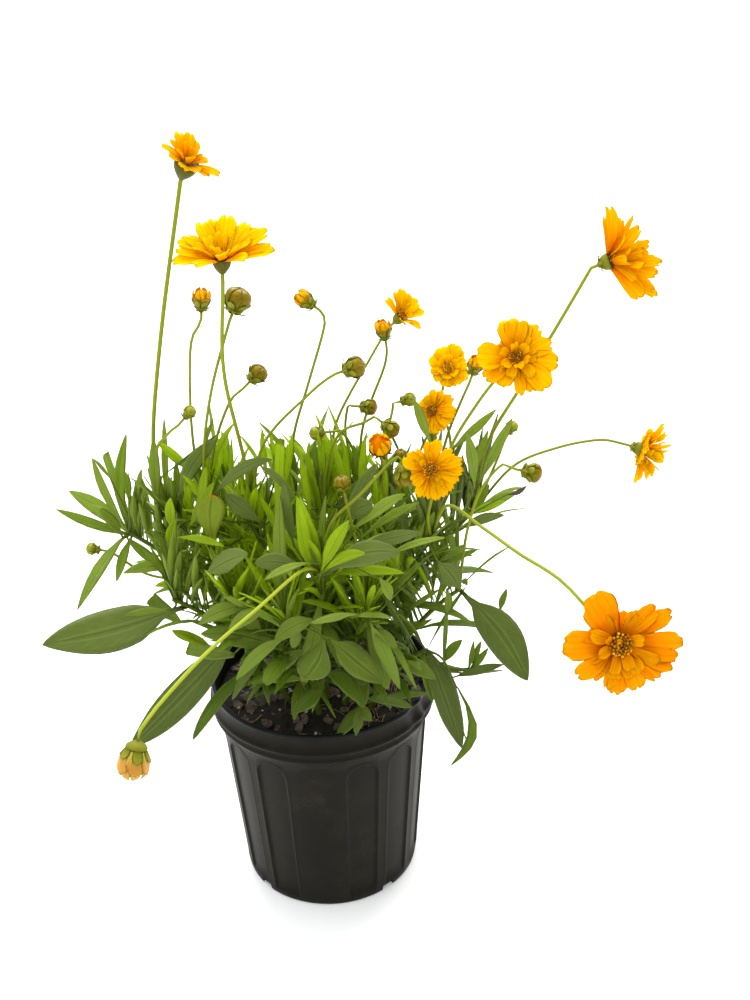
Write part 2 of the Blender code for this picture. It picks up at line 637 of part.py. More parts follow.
# The round body of a bud, taller and pointed where it is opening
def bud_body(name, radius, state, parts):
    tall = OPENING_BUD if state == "opening" else ROUND_BUD
    profile = [
        (0.0, tall * radius),
        (0.62 * radius, tall * radius * 0.86),
        (radius, tall * radius * 0.45),
        (0.60 * radius, 0.0),
        (0.0, 0.0),
    ]
    return solid(turned(name, profile, BUD_SIDES, parts), parts, split=True)


def build_bud(name, parts):
    stem, share, via, middle, axis, radius, state = BUDS[name]
    axis = Vector(axis).normalized()
    cup_base = Vector(middle) - axis * (BUD_CUP_HEIGHT + radius * 0.85)
    stalk_radius = STALK_RADIUS * (1.35 if radius > LARGE_BUD else 0.9)
    stalk = build_stalk(
        name, stem, share, via, cup_base, axis, stalk_radius, BUD_STALK_STEPS, parts
    )
    cup_place = facing(cup_base, axis)
    cup = green_cup(name, radius * BUD_CUP_SHARE, BUD_CUP_HEIGHT, cup_place, parts)
    body = bud_body(name, radius, state, parts)
    pieces = [stalk, cup]
    if state == "green":
        apply_place(body, facing(cup_base + axis * (BUD_CUP_HEIGHT - 2 * GAP), axis))
        pieces.append(body)
    else:
        body.matrix_world = facing(cup_base + axis * (BUD_CUP_HEIGHT + GAP), axis)
        paint(body, OPENING if state == "opening" else BRONZE, 0.45)
    return stem, pieces


# One layer of petals round a flat middle. Each petal is a wedge that grows from the
# middle's edge, with a raised ridge, a drooping end and three teeth. Its rings are
# shares of its length, with the share of its width there
def corolla(name, count, petals, middle_radius, rings, group):
    shape = bmesh.new()
    thick = PETAL_THICKNESS / 2
    top = shape.verts.new((0, 0, LAYER_HEIGHT / 2))
    bottom = shape.verts.new((0, 0, -LAYER_HEIGHT / 2))
    corners = []
    for index in range(count):
        turn = math.tau * (index + 0.5) / count
        corners.append(shape.verts.new(
            (middle_radius * math.cos(turn), middle_radius * math.sin(turn), 0)
        ))
    for index, (turn, lift, twist, length, width, droop) in enumerate(petals):
        spin = Matrix.Rotation(math.tau * index / count, 4, "Z")
        root = Matrix.Translation((middle_radius, 0, 0))
        pose = Matrix.Rotation(turn, 4, "Z") @ Matrix.Rotation(-lift, 4, "Y")
        pose = spin @ root @ pose @ Matrix.Rotation(twist, 4, "X")

        def at(x, y, z):
            return pose @ Vector((x * length, y * width / 2, z - droop * length * x ** 2))

        ring = [
            corners[index - 1],
            shape.verts.new(spin @ Vector((middle_radius, 0, LAYER_HEIGHT / 2))),
            corners[index],
            shape.verts.new(spin @ Vector((middle_radius, 0, -LAYER_HEIGHT / 2))),
        ]
        for near, far in ((0, 1), (1, 2)):
            shape.faces.new((top, ring[near], ring[far]))
            shape.faces.new((bottom, ring[3 if near else 0], ring[2 if near else 3]))
        for x, share in rings:
            points = (at(x, -share, 0), at(x, 0, thick), at(x, share, 0), at(x, 0, -thick))
            after = [shape.verts.new(point) for point in points]
            for near in range(4):
                far = (near + 1) % 4
                shape.faces.new((ring[near], ring[far], after[far], after[near]))
            ring = after
        teeth = [shape.verts.new(at(x, y, 0)) for x, y in PETAL_TEETH]
        edge = [ring[0], *teeth, ring[2]]
        for near, far in zip(edge, edge[1:]):
            shape.faces.new((ring[1], near, far))
            shape.faces.new((ring[3], far, near))
    return finish_shape(name, shape, group)


# The turn, lift, twist, length, width and droop of each petal of a layer
def petal_shapes(name, layer, count, radius, middle_radius):
    chance = random.Random("%s %d" % (name, layer))
    kind = INNER_PETALS if layer else OUTER_PETALS
    closing = CLOSING if name == CLOSED_BLOOM else 0
    lowest, highest = kind["lift"]
    room = math.tau / count * radius * kind["room"]
    for _ in range(count):
        length = radius * kind["length"] * chance.uniform(0.92, 1.04) - middle_radius
        width = min(room, radius * kind["width"]) * chance.uniform(0.92, 1.0)
        lift = math.radians(chance.uniform(lowest, highest) + closing)
        turn, twist = chance.uniform(-0.05, 0.05), chance.uniform(-0.14, 0.14)
        yield turn, lift, twist, length, width, chance.uniform(0.10, 0.24)


def build_bloom(name, parts):
    stem, share, via, middle, axis, radius, layers = BLOOMS[name]
    axis = Vector(axis).normalized()
    middle = Vector(middle)
    cup_radius = CUP_RADIUS + radius * CUP_SHARE
    cup_base = middle - axis * (CUP_HEIGHT + GAP + LAYER_HEIGHT / 2)
    stalk = build_stalk(
        name, stem, share, via, cup_base, axis, STALK_RADIUS, BLOOM_STALK_STEPS, parts
    )
    cup = green_cup(name, cup_radius, CUP_HEIGHT, facing(cup_base, axis), parts)
    whorls = []
    for layer, count in enumerate(layers):
        middle_radius = cup_radius * (0.95 - 0.10 * layer)
        petals = petal_shapes(name, layer, count, radius, middle_radius)
        kind = INNER_PETALS if layer else OUTER_PETALS
        whorl = corolla(name + "_petals", count, petals, middle_radius, kind["rings"], parts)
        half_turn = Matrix.Rotation(math.pi / count * layer, 4, "Z")
        place = facing(middle + axis * (LAYER_STEP * layer), axis) @ half_turn
        whorls.append(apply_place(whorl, place))
    if len(whorls) > 1:
        fuse(whorls[0], whorls[1:])
    paint(whorls[0], GOLD, 0.5)
    if name != CLOSED_BLOOM:
        disc_base = middle + axis * (LAYER_STEP * (len(layers) - 1) + LAYER_HEIGHT / 2 + GAP)
        build_disc(name, disc_base, axis, cup_radius * DISC_SHARE, parts)
    return stem, [stalk, cup]


# The raised disc of tiny florets: a dome whose rings step in and out
def build_disc(name, base, axis, radius, parts):
    sections = []
    for reach, height, notch in ((1.0, 0.0, 1.0), (0.95, 0.45, 0.86), (0.55, 0.62, 0.86)):
        ring = []
        for index in range(DISC_SIDES):
            turn = math.tau * index / DISC_SIDES
            out = radius * reach * (1.0 if index % 2 else notch)
            ring.append(Vector((out * math.cos(turn), out * math.sin(turn), radius * height)))
        sections.append(ring)
    sections.append([Vector((0, 0, radius * 0.60))])
    disc = loft(name + "_disc", sections, parts)
    disc.matrix_world = facing(base, axis)
    paint(disc, DISC_BROWN, 0.8)


# A leaf's width at a share of its length, widest past its middle, with a slim root
def leaf_width(share):
    bulge = math.sin(math.pi * share ** 1.35) ** 0.9 if share < 1 else 0.0
    return max(bulge, LEAF_ROOT * (1 - share))


# A thin blade from its root to its tip, with a flat top and a midrib keel below
def leaf_sections(root, tip, rise, width, roll, shares, swell):
    root, tip = Vector(root), Vector(tip)
    bend = (root + tip) / 2 + Vector((0, 0, 2 * rise))
    flat = Vector((tip.y - root.y, root.x - tip.x, 0.0)).normalized()
    sections = []
    for share in shares:
        middle = root * (1 - share) ** 2 + bend * 2 * share * (1 - share) + tip * share ** 2
        along = ((bend - root) * (1 - share) + (tip - bend) * share).normalized()
        side = Matrix.Rotation(math.radians(roll), 3, along) @ flat
        up = side.cross(along).normalized()
        half = width / 2 * leaf_width(share) + swell
        edge = middle + up * (half * LEAF_FOLD + swell)
        keel = middle - up * (LEAF_THICKNESS + swell)
        sections.append([edge - side * half, edge + side * half, keel])
    sections.append([tip])
    return sections


# A search tree of a blade's faces, for finding what it would cross
def section_tree(sections):
    corners = [point for section in sections for point in section]
    faces = []
    for row in range(len(sections) - 1):
        for index in range(3):
            near, after = row * 3 + index, row * 3 + (index + 1) % 3
            if len(sections[row + 1]) == 1:
                faces.append((near, after, row * 3 + 3))
            else:
                faces.append((near, after, after + 3, near + 3))
    return BVHTree.FromPolygons(corners, faces)


def object_tree(item):
    bpy.context.view_layer.update()
    place = item.matrix_world
    corners = [place @ corner.co for corner in item.data.vertices]
    return BVHTree.FromPolygons(corners, [tuple(face.vertices) for face in item.data.polygons])


# The blade that a leaf settles on: the first of its seeded tries that crosses nothing
def settle_leaf(stem, share, aims, width, occupied):
    root = tube_point(stem, share)
    sections = NARROW_SECTIONS if width < NARROW_WIDTH else LEAF_SECTIONS
    if width > BROAD_WIDTH:
        sections = BROAD_SECTIONS
    for tip, rise, roll in aims:
        whole = leaf_sections(root, tip, rise, width, roll, sections, LEAF_CLEARANCE)
        free_shares = (ROOT_FREE, *sections[1:])
        free = leaf_sections(root, tip, rise, width, roll, free_shares, LEAF_CLEARANCE)
        whole_tree, free_tree = section_tree(whole), section_tree(free)
        blocked = any(
            (free_tree if owner == stem else whole_tree).overlap(tree)
            for owner, tree in occupied
        )
        if not blocked:
            blade = leaf_sections(root, tip, rise, width, roll, sections, 0.0)
            return blade, whole_tree
    return None


# Tries for a leaf placed by hand: its own tip first, then tips close around it
def lone_aims(index, tip, rise, roll):
    chance = random.Random(SEED * 1000 + index)
    yield Vector(tip), rise, roll
    for attempt in range(1, LEAF_TRIES):
        reach = 0.0016 * attempt
        shift = Vector(chance.uniform(-reach, reach) for _ in range(3))
        yield Vector(tip) + shift, rise, roll + chance.uniform(-12, 12)


# Tries for a filler leaf: the low ones broad and spreading, the top ones narrow and steep
def filler_aims(stem, share, index, spread):
    chance = random.Random("%s %d %d" % (stem, SEED, index))
    root = tube_point(stem, share)
    outward = math.atan2(root.y, root.x)
    turn = index // 2 * PAIR_TURN + index % 2 * math.pi + outward
    height = (share - LOWEST_PAIR) / (1 - LOWEST_PAIR)
    length = LOW_LEAF["length"] * (1 - height) + TOP_LEAF["length"] * height
    climb = LOW_LEAF["climb"] * (1 - height) + TOP_LEAF["climb"] * height
    rise = LOW_LEAF["rise"] * (1 - height) + TOP_LEAF["rise"] * height
    for attempt in range(LEAF_TRIES):
        looseness = 0.25 + 0.12 * attempt
        way = turn + chance.uniform(-0.5, 0.5) * looseness * 1.6
        inward = 1 - math.cos(way - outward)
        tilt = climb - SPREAD_DROP * spread + INWARD_CLIMB * inward
        angle = math.radians(tilt + chance.uniform(-16, 16))
        angle = max(min(angle, STEEPEST), LOWEST_CLIMB)
        reach = length * chance.uniform(0.82, 1.18) * (1 - 0.02 * attempt)
        step = Vector((math.cos(angle) * math.cos(way), math.cos(angle) * math.sin(way),
                       math.sin(angle)))
        yield root + step * reach, rise, chance.uniform(-25, 25)


def grow_leaves(occupied):
    blades = {stem: [] for stem in STEMS}
    for index, (stem, share, tip, rise, width, roll) in enumerate(LONE_LEAVES):
        aims = lone_aims(index, tip, rise, roll)
        settled = settle_leaf(stem, share, aims, width, occupied)
        if settled:
            blades[stem].append(settled[0])
            occupied.append((stem, settled[1]))
    for stem, (_, _, pairs, spread) in STEMS.items():
        for index in range(pairs * 2):
            share = LOWEST_PAIR + (1 - LOWEST_PAIR) * (index // 2 + 1) / pairs - 0.02 * (index % 2)
            height = (share - LOWEST_PAIR) / (1 - LOWEST_PAIR)
            width = LOW_LEAF["width"] * (1 - height) + TOP_LEAF["width"] * height
            aims = filler_aims(stem, share, index, spread)
            settled = settle_leaf(stem, share, aims, width, occupied)
            if settled:
                blades[stem].append(settled[0])
                occupied.append((stem, settled[1]))
    return blades


def build_plant(parts):
    stems = {stem: build_stem(stem, parts) for stem in STEMS}
    pieces = {stem: [] for stem in STEMS}
    for name in BLOOMS:
        stem, grown = build_bloom(name, parts)
        pieces[stem] += grown
    for name in BUDS:
        stem, grown = build_bud(name, parts)
        pieces[stem] += grown
    owners = {item.name: stem for stem, grown in pieces.items() for item in grown}
    own_stem = set(stems)
    occupied = [
        (owners.get(item.name, item.name), object_tree(item))
        for item in parts.objects if item.name not in own_stem
    ]
    occupied += [(stem, object_tree(stems[stem])) for stem in stems]
    blades = grow_leaves(occupied)
    for stem, base in stems.items():
        leaves = [loft("leaf", sections, parts) for sections in blades[stem]]
        fuse(base, pieces[stem] + leaves)
        paint(base, GREEN, 0.55)


def main():
    clear_scene()
    parts = make_collection("potted_tickseed")
    cutters = make_collection("cutters")
    build_pot(parts, cutters)
    build_soil(parts, cutters)
    build_plant(parts)


main()
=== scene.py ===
import math
import random

import bmesh
import bpy
import numpy as np
from mathutils import Matrix, Vector, noise
from mathutils.kdtree import KDTree


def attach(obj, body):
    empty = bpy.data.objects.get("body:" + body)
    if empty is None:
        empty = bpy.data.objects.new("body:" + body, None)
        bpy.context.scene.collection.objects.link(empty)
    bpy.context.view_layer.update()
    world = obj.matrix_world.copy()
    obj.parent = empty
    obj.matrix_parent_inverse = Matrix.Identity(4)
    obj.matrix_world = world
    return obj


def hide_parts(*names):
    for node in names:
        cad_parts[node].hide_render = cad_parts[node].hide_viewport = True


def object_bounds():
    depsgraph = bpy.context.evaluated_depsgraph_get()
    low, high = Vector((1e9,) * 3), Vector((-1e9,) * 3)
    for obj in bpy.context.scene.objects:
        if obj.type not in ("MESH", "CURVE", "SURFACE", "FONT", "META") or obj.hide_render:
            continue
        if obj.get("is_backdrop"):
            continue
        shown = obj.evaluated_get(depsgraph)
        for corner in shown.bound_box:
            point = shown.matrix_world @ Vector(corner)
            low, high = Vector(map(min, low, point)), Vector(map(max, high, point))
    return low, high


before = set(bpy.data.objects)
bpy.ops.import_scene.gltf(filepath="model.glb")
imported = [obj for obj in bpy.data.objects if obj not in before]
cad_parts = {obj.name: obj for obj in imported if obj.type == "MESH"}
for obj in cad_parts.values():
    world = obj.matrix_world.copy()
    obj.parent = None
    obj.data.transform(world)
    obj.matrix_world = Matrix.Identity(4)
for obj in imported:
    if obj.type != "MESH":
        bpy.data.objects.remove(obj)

# Potted early sunrise tickseed: the looks of the pot, the potting mix, the leafy stems,
# the golden blooms and the round buds, each fitted round its own solid of the frame
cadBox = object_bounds()
gap = 0.0003  # between solids that rest on each other


# The two forms of an operator on wires: plain, and reflected for a number that comes first
def mathPair(operation):
    def plain(self, other):
        return self.math(operation, self, other)

    def reflected(self, other):
        return self.math(operation, other, self)
    return plain, reflected


# Each wrapped socket takes part in plain sums, which add Math nodes
class Wire:
    __add__, __radd__ = mathPair("ADD")
    __sub__, __rsub__ = mathPair("SUBTRACT")
    __mul__, __rmul__ = mathPair("MULTIPLY")
    __mod__, __rmod__ = mathPair("MODULO")
    __gt__, __lt__ = mathPair("GREATER_THAN")

    def __init__(self, finish, socket):
        self.finish = finish
        self.socket = socket

    def math(self, operation, *values, clamp=False):
        settings = {"operation": operation, "use_clamp": clamp}
        return self.finish.node("ShaderNodeMath", settings, dict(enumerate(values)))

    def __abs__(self):
        return self.math("ABSOLUTE", self)

    def clamped(self):
        return self.math("ADD", self, 0.0, clamp=True)

    # 0 below the first value, 1 above the second, smooth between them
    def between(self, low, high):
        settings = {"interpolation_type": "SMOOTHSTEP"}
        return self.finish.node("ShaderNodeMapRange", settings, {0: self, 1: low, 2: high})


# A material, with its Principled shader and the wires that feed it
class Finish:
    def __init__(self, name, **sockets):
        self.material = bpy.data.materials.new(name)
        self.material.use_nodes = True
        self.tree = self.material.node_tree
        self.shader = self.tree.nodes["Principled BSDF"]
        self.output = self.tree.nodes["Material Output"]
        for socket, value in sockets.items():
            self.feed(self.shader.inputs[socket.replace("_", " ")], value)

    # A socket takes a wire, a colour's code, or a plain number or vector
    def feed(self, socket, value):
        if isinstance(value, Wire):
            self.tree.links.new(value.socket, socket)
        else:
            socket.default_value = colour(value) if isinstance(value, str) else value

    def node(self, kind, settings=None, values=None, output=0):
        made = self.tree.nodes.new(kind)
        for name, value in (settings or {}).items():
            if name == "stops":
                self.setStops(made.color_ramp, value)
            else:
                setattr(made, name, value)
        for socket, value in (values or {}).items():
            self.feed(made.inputs[socket], value)
        return Wire(self, made.outputs[output])

    def setStops(self, ramp, stops):
        while len(ramp.elements) < len(stops):
            ramp.elements.new(0.5)
        for element, (position, code) in zip(ramp.elements, stops):
            element.position = position
            element.color = colour(code)

    def place(self):
        return self.node("ShaderNodeTexCoord", output="Object")

    def axis(self, name, vector):
        return self.node("ShaderNodeSeparateXYZ", values={0: vector}, output=name)

    # A blank's own map, its shares across and along, and the distance from its midrib
    def spread(self):
        flat = self.node("ShaderNodeUVMap", {"uv_map": "along"})
        u, v = self.axis("X", flat), self.axis("Y", flat)
        return flat, u, v, abs(u - 0.5) * 2

    # The tone that each copy of a blank has of its own
    def tone(self):
        return self.node("ShaderNodeAttribute", {"attribute_name": "tone"}, output="Fac")

    def grain(self, scale, detail=4.0, roughness=0.6, vector=None):
        values = {"Vector": vector or self.place(), "Scale": scale, "Detail": detail}
        values["Roughness"] = roughness
        return self.node("ShaderNodeTexNoise", values=values)

    # Grain that is drawn out along one way
    def streaks(self, vector, scale, detail=3, roughness=0.5):
        drawn = self.node("ShaderNodeMapping", None, {"Vector": vector, "Scale": scale})
        return self.grain(1, detail, roughness, drawn)

    def blend(self, share, first, second, mode="MIX"):
        settings = {"data_type": "RGBA", "blend_type": mode, "clamp_factor": True}
        return self.node("ShaderNodeMix", settings, {0: share, 6: first, 7: second}, 2)

    def ramp(self, share, stops):
        return self.node("ShaderNodeValToRGB", {"stops": stops}, {0: share})

    def bump(self, height, distance, strength=1.0):
        values = {"Height": height, "Distance": distance, "Strength": strength}
        wire = self.node("ShaderNodeBump", values=values)
        self.feed(self.shader.inputs["Normal"], wire)
        return wire

    def paint(self, base, roughness):
        self.feed(self.shader.inputs["Base Color"], base)
        self.feed(self.shader.inputs["Roughness"], roughness)

    # Light that shines through a thin leaf or petal
    def shineThrough(self, glow, share, normal):
        values = {"Color": glow, "Normal": normal}
        thin = self.node("ShaderNodeBsdfTranslucent", values=values)
        solid = Wire(self, self.shader.outputs[0])
        mixed = self.node("ShaderNodeMixShader", values={0: share, 1: solid, 2: thin})
        self.feed(self.output.inputs["Surface"], mixed)


# A socket's colour from its six-digit code
def colour(code):
    parts = [int(code[start:start + 2], 16) / 255 for start in (0, 2, 4)]
    linear = [p / 12.92 if p <= 0.04045 else ((p + 0.055) / 1.055) ** 2.4 for p in parts]
    return (*linear, 1.0)


# Leaves edit mode and selects nothing, before a new primitive is added
def startModelling():
    if bpy.context.object and bpy.context.object.mode != "OBJECT":
        bpy.ops.object.mode_set(mode="OBJECT")
    bpy.ops.object.select_all(action="DESELECT")


# Puts the new object in edit mode, all selected
def editNew(name="blank"):
    item = bpy.context.object
    item.name = name
    bpy.ops.object.mode_set(mode="EDIT")
    bpy.ops.mesh.select_all(action="SELECT")
    return item


# Turns all faces outwards and leaves edit mode
def finishEditing():
    bpy.ops.mesh.select_all(action="SELECT")
    bpy.ops.mesh.normals_make_consistent(inside=False)
    bpy.ops.object.mode_set(mode="OBJECT")


# Selects what passes the test among the vertices of the piece in edit mode
def pickVertices(item, test):
    bpy.ops.mesh.select_all(action="DESELECT")
    bpy.ops.mesh.select_mode(type="VERT")
    mesh = bmesh.from_edit_mesh(item.data)
    for corner in mesh.verts:
        corner.select = bool(test(corner.co))
    mesh.select_flush(True)
    bmesh.update_edit_mesh(item.data)


# A blank that is modelled once, as arrays, after which its object is gone
class Blank:
    def __init__(self, item):
        startModelling()
        mesh = item.data
        self.points = np.array([tuple(corner.co) for corner in mesh.vertices])
        self.faces = [tuple(face.vertices) for face in mesh.polygons]
        layer = mesh.uv_layers.active
        self.maps = [tuple(spot.uv) for spot in layer.data] if layer else None
        bpy.data.objects.remove(item, do_unlink=True)


# Copies of blanks, bent to their places, that are joined into one piece
class Bunch:
    def __init__(self, name):
        self.name = name
        self.points, self.faces, self.maps = [], [], []
        self.tones, self.slots, self.finishes, self.smooth = [], [], [], []
        self.count = 0

    def add(self, blank, points, finish, tone=0.5, smooth=True):
        if finish not in self.finishes:
            self.finishes.append(finish)
        self.points.append(np.asarray(points, float))
        self.faces += [tuple(corner + self.count for corner in face) for face in blank.faces]
        corners = sum(len(face) for face in blank.faces)
        self.maps += blank.maps or [(0.5, 0.5)] * corners
        self.slots += [self.finishes.index(finish)] * len(blank.faces)
        self.tones += [tone] * len(points)
        self.smooth += [smooth] * len(blank.faces)
        self.count += len(points)

    def piece(self, slot, *nodes):
        mesh = bpy.data.meshes.new(self.name)
        mesh.from_pydata(np.concatenate(self.points).tolist(), [], self.faces)
        layer = mesh.uv_layers.new(name="along")
        layer.data.foreach_set("uv", [value for spot in self.maps for value in spot])
        tone = mesh.attributes.new("tone", "FLOAT", "POINT")
        tone.data.foreach_set("value", self.tones)
        for finish in self.finishes:
            mesh.materials.append(finish.material)
        mesh.polygons.foreach_set("material_index", self.slots)
        mesh.polygons.foreach_set("use_smooth", self.smooth)
        item = bpy.data.objects.new(self.name, mesh)
        bpy.context.scene.collection.objects.link(item)
        return settle(item, slot, *nodes)


# Gives a finished piece its body, and hides the solids that it stands for
def settle(item, slot, *nodes):
    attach(item, "root")
    if nodes:
        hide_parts(*nodes)
    return item


# A smooth curve through the points, with the same number of steps between each two
def smoothPath(points, steps):
    points = [Vector(point) for point in points]
    ends = [points[0] * 2 - points[1]] + points + [points[-1] * 2 - points[-2]]
    path = []
    for before, start, end, after in zip(ends, ends[1:], ends[2:], ends[3:]):
        for step in range(steps):
            t = step / steps
            path.append(0.5 * (
                2 * start
                + (end - before) * t
                + (2 * before - 5 * start + 4 * end - after) * t ** 2
                + (3 * start - before - 3 * end + after) * t ** 3
            ))
    path.append(points[-1])
    return path


def clampShare(value):
    return min(max(value, 0.0), 1.0)


# The short way round from one angle to another
def angleFrom(start, angle):
    return (angle - start + math.pi) % math.tau - math.pi


# A frame with its Z along the direction
def facing(origin, direction):
    turn = Vector(direction).to_track_quat("Z", "Y")
    return Matrix.Translation(origin) @ turn.to_matrix().to_4x4()


# A flower head's frame: Z along its axis, and Y towards its own twelve o'clock
def headPlace(origin, axis):
    axis = Vector(axis).normalized()
    top = Vector(headShape["clockTop"])
    top = (top - axis * top.dot(axis)).normalized()
    right = top.cross(axis)
    return Matrix.Translation(origin) @ Matrix((right, top, axis)).transposed().to_4x4()


def placed(points, matrix):
    turned = np.array(matrix.to_3x3())
    return points @ turned.T + np.array(matrix.to_translation())


# A sheet with an upper and a lower face that share their border: x runs across from -1
# to 1 times the outline, y from 0 at the root to 1 at the tip, and z is -1 underneath.
# Teeth shift single points along y, and crowd brings the rows closer towards the tip
def bladeBlank(columns, rows, outline, teeth=(), crowd=1.0):
    startModelling()
    bpy.ops.mesh.primitive_grid_add(x_subdivisions=columns, y_subdivisions=rows, size=2)
    blade = editNew()
    bpy.ops.transform.translate(value=(0, 1, 0))
    bpy.ops.transform.resize(value=(1, 0.5, 1), center_override=(0, 0, 0))
    for row in range(rows + 1):
        share = row / rows
        pickVertices(blade, lambda co: abs(co.y - share) < 0.2 / rows)
        width = max(outline(1 - (1 - share) ** crowd), 0.0001)
        bpy.ops.transform.resize(value=(width, 1, 1), center_override=(0, share, 0))
    for share, u, shift in teeth:
        spot = Vector((u * outline(share), share, 0))
        pickVertices(blade, lambda co: abs(co.y - spot.y) < 0.2 / rows
                     and abs(co.x - spot.x) < 0.04)
        bpy.ops.transform.translate(value=(0, shift, 0))
    bpy.ops.mesh.select_all(action="SELECT")
    bpy.ops.mesh.duplicate()
    bpy.ops.mesh.flip_normals()
    mesh = bmesh.from_edit_mesh(blade.data)
    for corner in mesh.verts:
        corner.select = corner.select and not corner.is_boundary
    mesh.select_flush(False)
    bmesh.update_edit_mesh(blade.data)
    bpy.ops.transform.translate(value=(0, 0, -1))
    bpy.ops.mesh.select_all(action="SELECT")
    bpy.ops.mesh.remove_doubles(threshold=0.0005)
    bpy.ops.object.mode_set(mode="OBJECT")
    blank = Blank(blade)
    blank.points[:, 1] = 1 - np.maximum(1 - blank.points[:, 1], 0) ** crowd
    return blank


# A tube round z from 0 to 1, with closed ends; x and y are shares of its radius
def tubeBlank(sides, steps):
    startModelling()
    bpy.ops.mesh.primitive_circle_add(vertices=sides, radius=1, fill_type="NGON")
    tube = editNew()
    for _ in range(steps):
        rise = {"value": (0, 0, 1 / steps)}
        bpy.ops.mesh.extrude_region_move(TRANSFORM_OT_translate=rise)
    bpy.ops.mesh.uv_texture_add()
    finishEditing()
    layer = tube.data.uv_layers.active.data
    for spot, loop in zip(layer, tube.data.loops):
        corner = tube.data.vertices[loop.vertex_index].co
        spot.uv = (math.atan2(corner.y, corner.x) / math.tau + 0.5, corner.z)
    return Blank(tube)


# Closes the selected ring with a fan to its centre
def closeRing():
    bpy.ops.mesh.extrude_region_move()
    bpy.ops.mesh.merge(type="CENTER")


# A turned shape from its profile of radius and height, closed at both ends on the axis
def turnedShape(name, sides, profile):
    startModelling()
    radius, height = profile[0]
    bpy.ops.mesh.primitive_circle_add(vertices=sides, radius=radius, location=(0, 0, height))
    bpy.ops.object.transform_apply(location=True, rotation=True, scale=True)
    shape = editNew(name)
    for (lastRadius, lastHeight), (nextRadius, nextHeight) in zip(profile, profile[1:]):
        rise = {"value": (0, 0, nextHeight - lastHeight)}
        bpy.ops.mesh.extrude_region_move(TRANSFORM_OT_translate=rise)
        scale = nextRadius / lastRadius
        bpy.ops.transform.resize(value=(scale, scale, 1), center_override=(0, 0, nextHeight))
    closeRing()
    pickVertices(shape, lambda co: abs(co.z - height) < 1e-6
                 and abs(co.xy.length - radius) < 1e-5)
    closeRing()
    finishEditing()
    return shape


# Rows of vectors at length 1
def unit(rows):
    rows = np.asarray(rows, float)
    return rows / np.maximum(np.linalg.norm(rows, axis=-1, keepdims=True), 1e-9)


# Bends a tube blank along a path, with its first and last radius
def bendTube(blank, path, radii):
    path = np.array([tuple(point) for point in path])
    steps = np.linalg.norm(np.diff(path, axis=0), axis=1)
    lengths = np.concatenate([[0], np.cumsum(steps)])
    share = blank.points[:, 2] * lengths[-1]
    middle = np.stack([np.interp(share, lengths, part) for part in path.T], axis=1)
    slope = unit(np.gradient(path, lengths, axis=0))
    along = unit(np.stack([np.interp(share, lengths, part) for part in slope.T], axis=1))
    guide = np.array([0.31, 0.87, 0.39])
    side = unit(np.cross(along, guide))
    up = np.cross(side, along)
    radius = radii[0] + (radii[1] - radii[0]) * blank.points[:, 2:3]
    return middle + (side * blank.points[:, 0:1] - up * blank.points[:, 1:2]) * radius


# Bends a blade along the arch from root to tip. fold raises its edges, wave ripples
# them, twist turns the tip, and sway bows the blade sideways
def bendLeaf(blank, root, tip, rise, width, roll, fold=0.25, wave=0.0, twist=0.0, phase=0.0,
             thick=0.0006, sway=0.0):
    root, tip = np.array(root, float), np.array(tip, float)
    bend = (root + tip) / 2 + np.array([0, 0, 2 * rise])
    x, t, z = blank.points[:, 0:1], np.clip(blank.points[:, 1:2], 0, 1), blank.points[:, 2:3]
    middle = root * (1 - t) ** 2 + bend * 2 * t * (1 - t) + tip * t ** 2
    along = unit((bend - root) * (1 - t) + (tip - bend) * t)
    flat = unit(np.array([tip[1] - root[1], root[0] - tip[0], 1e-6]))
    angle = np.radians(roll) + twist * (t - 0.35)
    side = flat * np.cos(angle) + np.cross(along, flat) * np.sin(angle)
    side = unit(side - along * np.sum(side * along, axis=1, keepdims=True))
    up = np.cross(side, along)
    half = width / 2
    lift = half * (fold * np.abs(x) * (1 - 0.4 * t) + wave * x * np.sin(9 * t + phase))
    lift = lift + half * wave * 0.6 * np.abs(x) * np.sin(17 * t + 2 * phase)
    drift = sway * np.sin(math.pi * t) * half
    return middle + side * (x * half + drift) + up * (lift + z * thick)


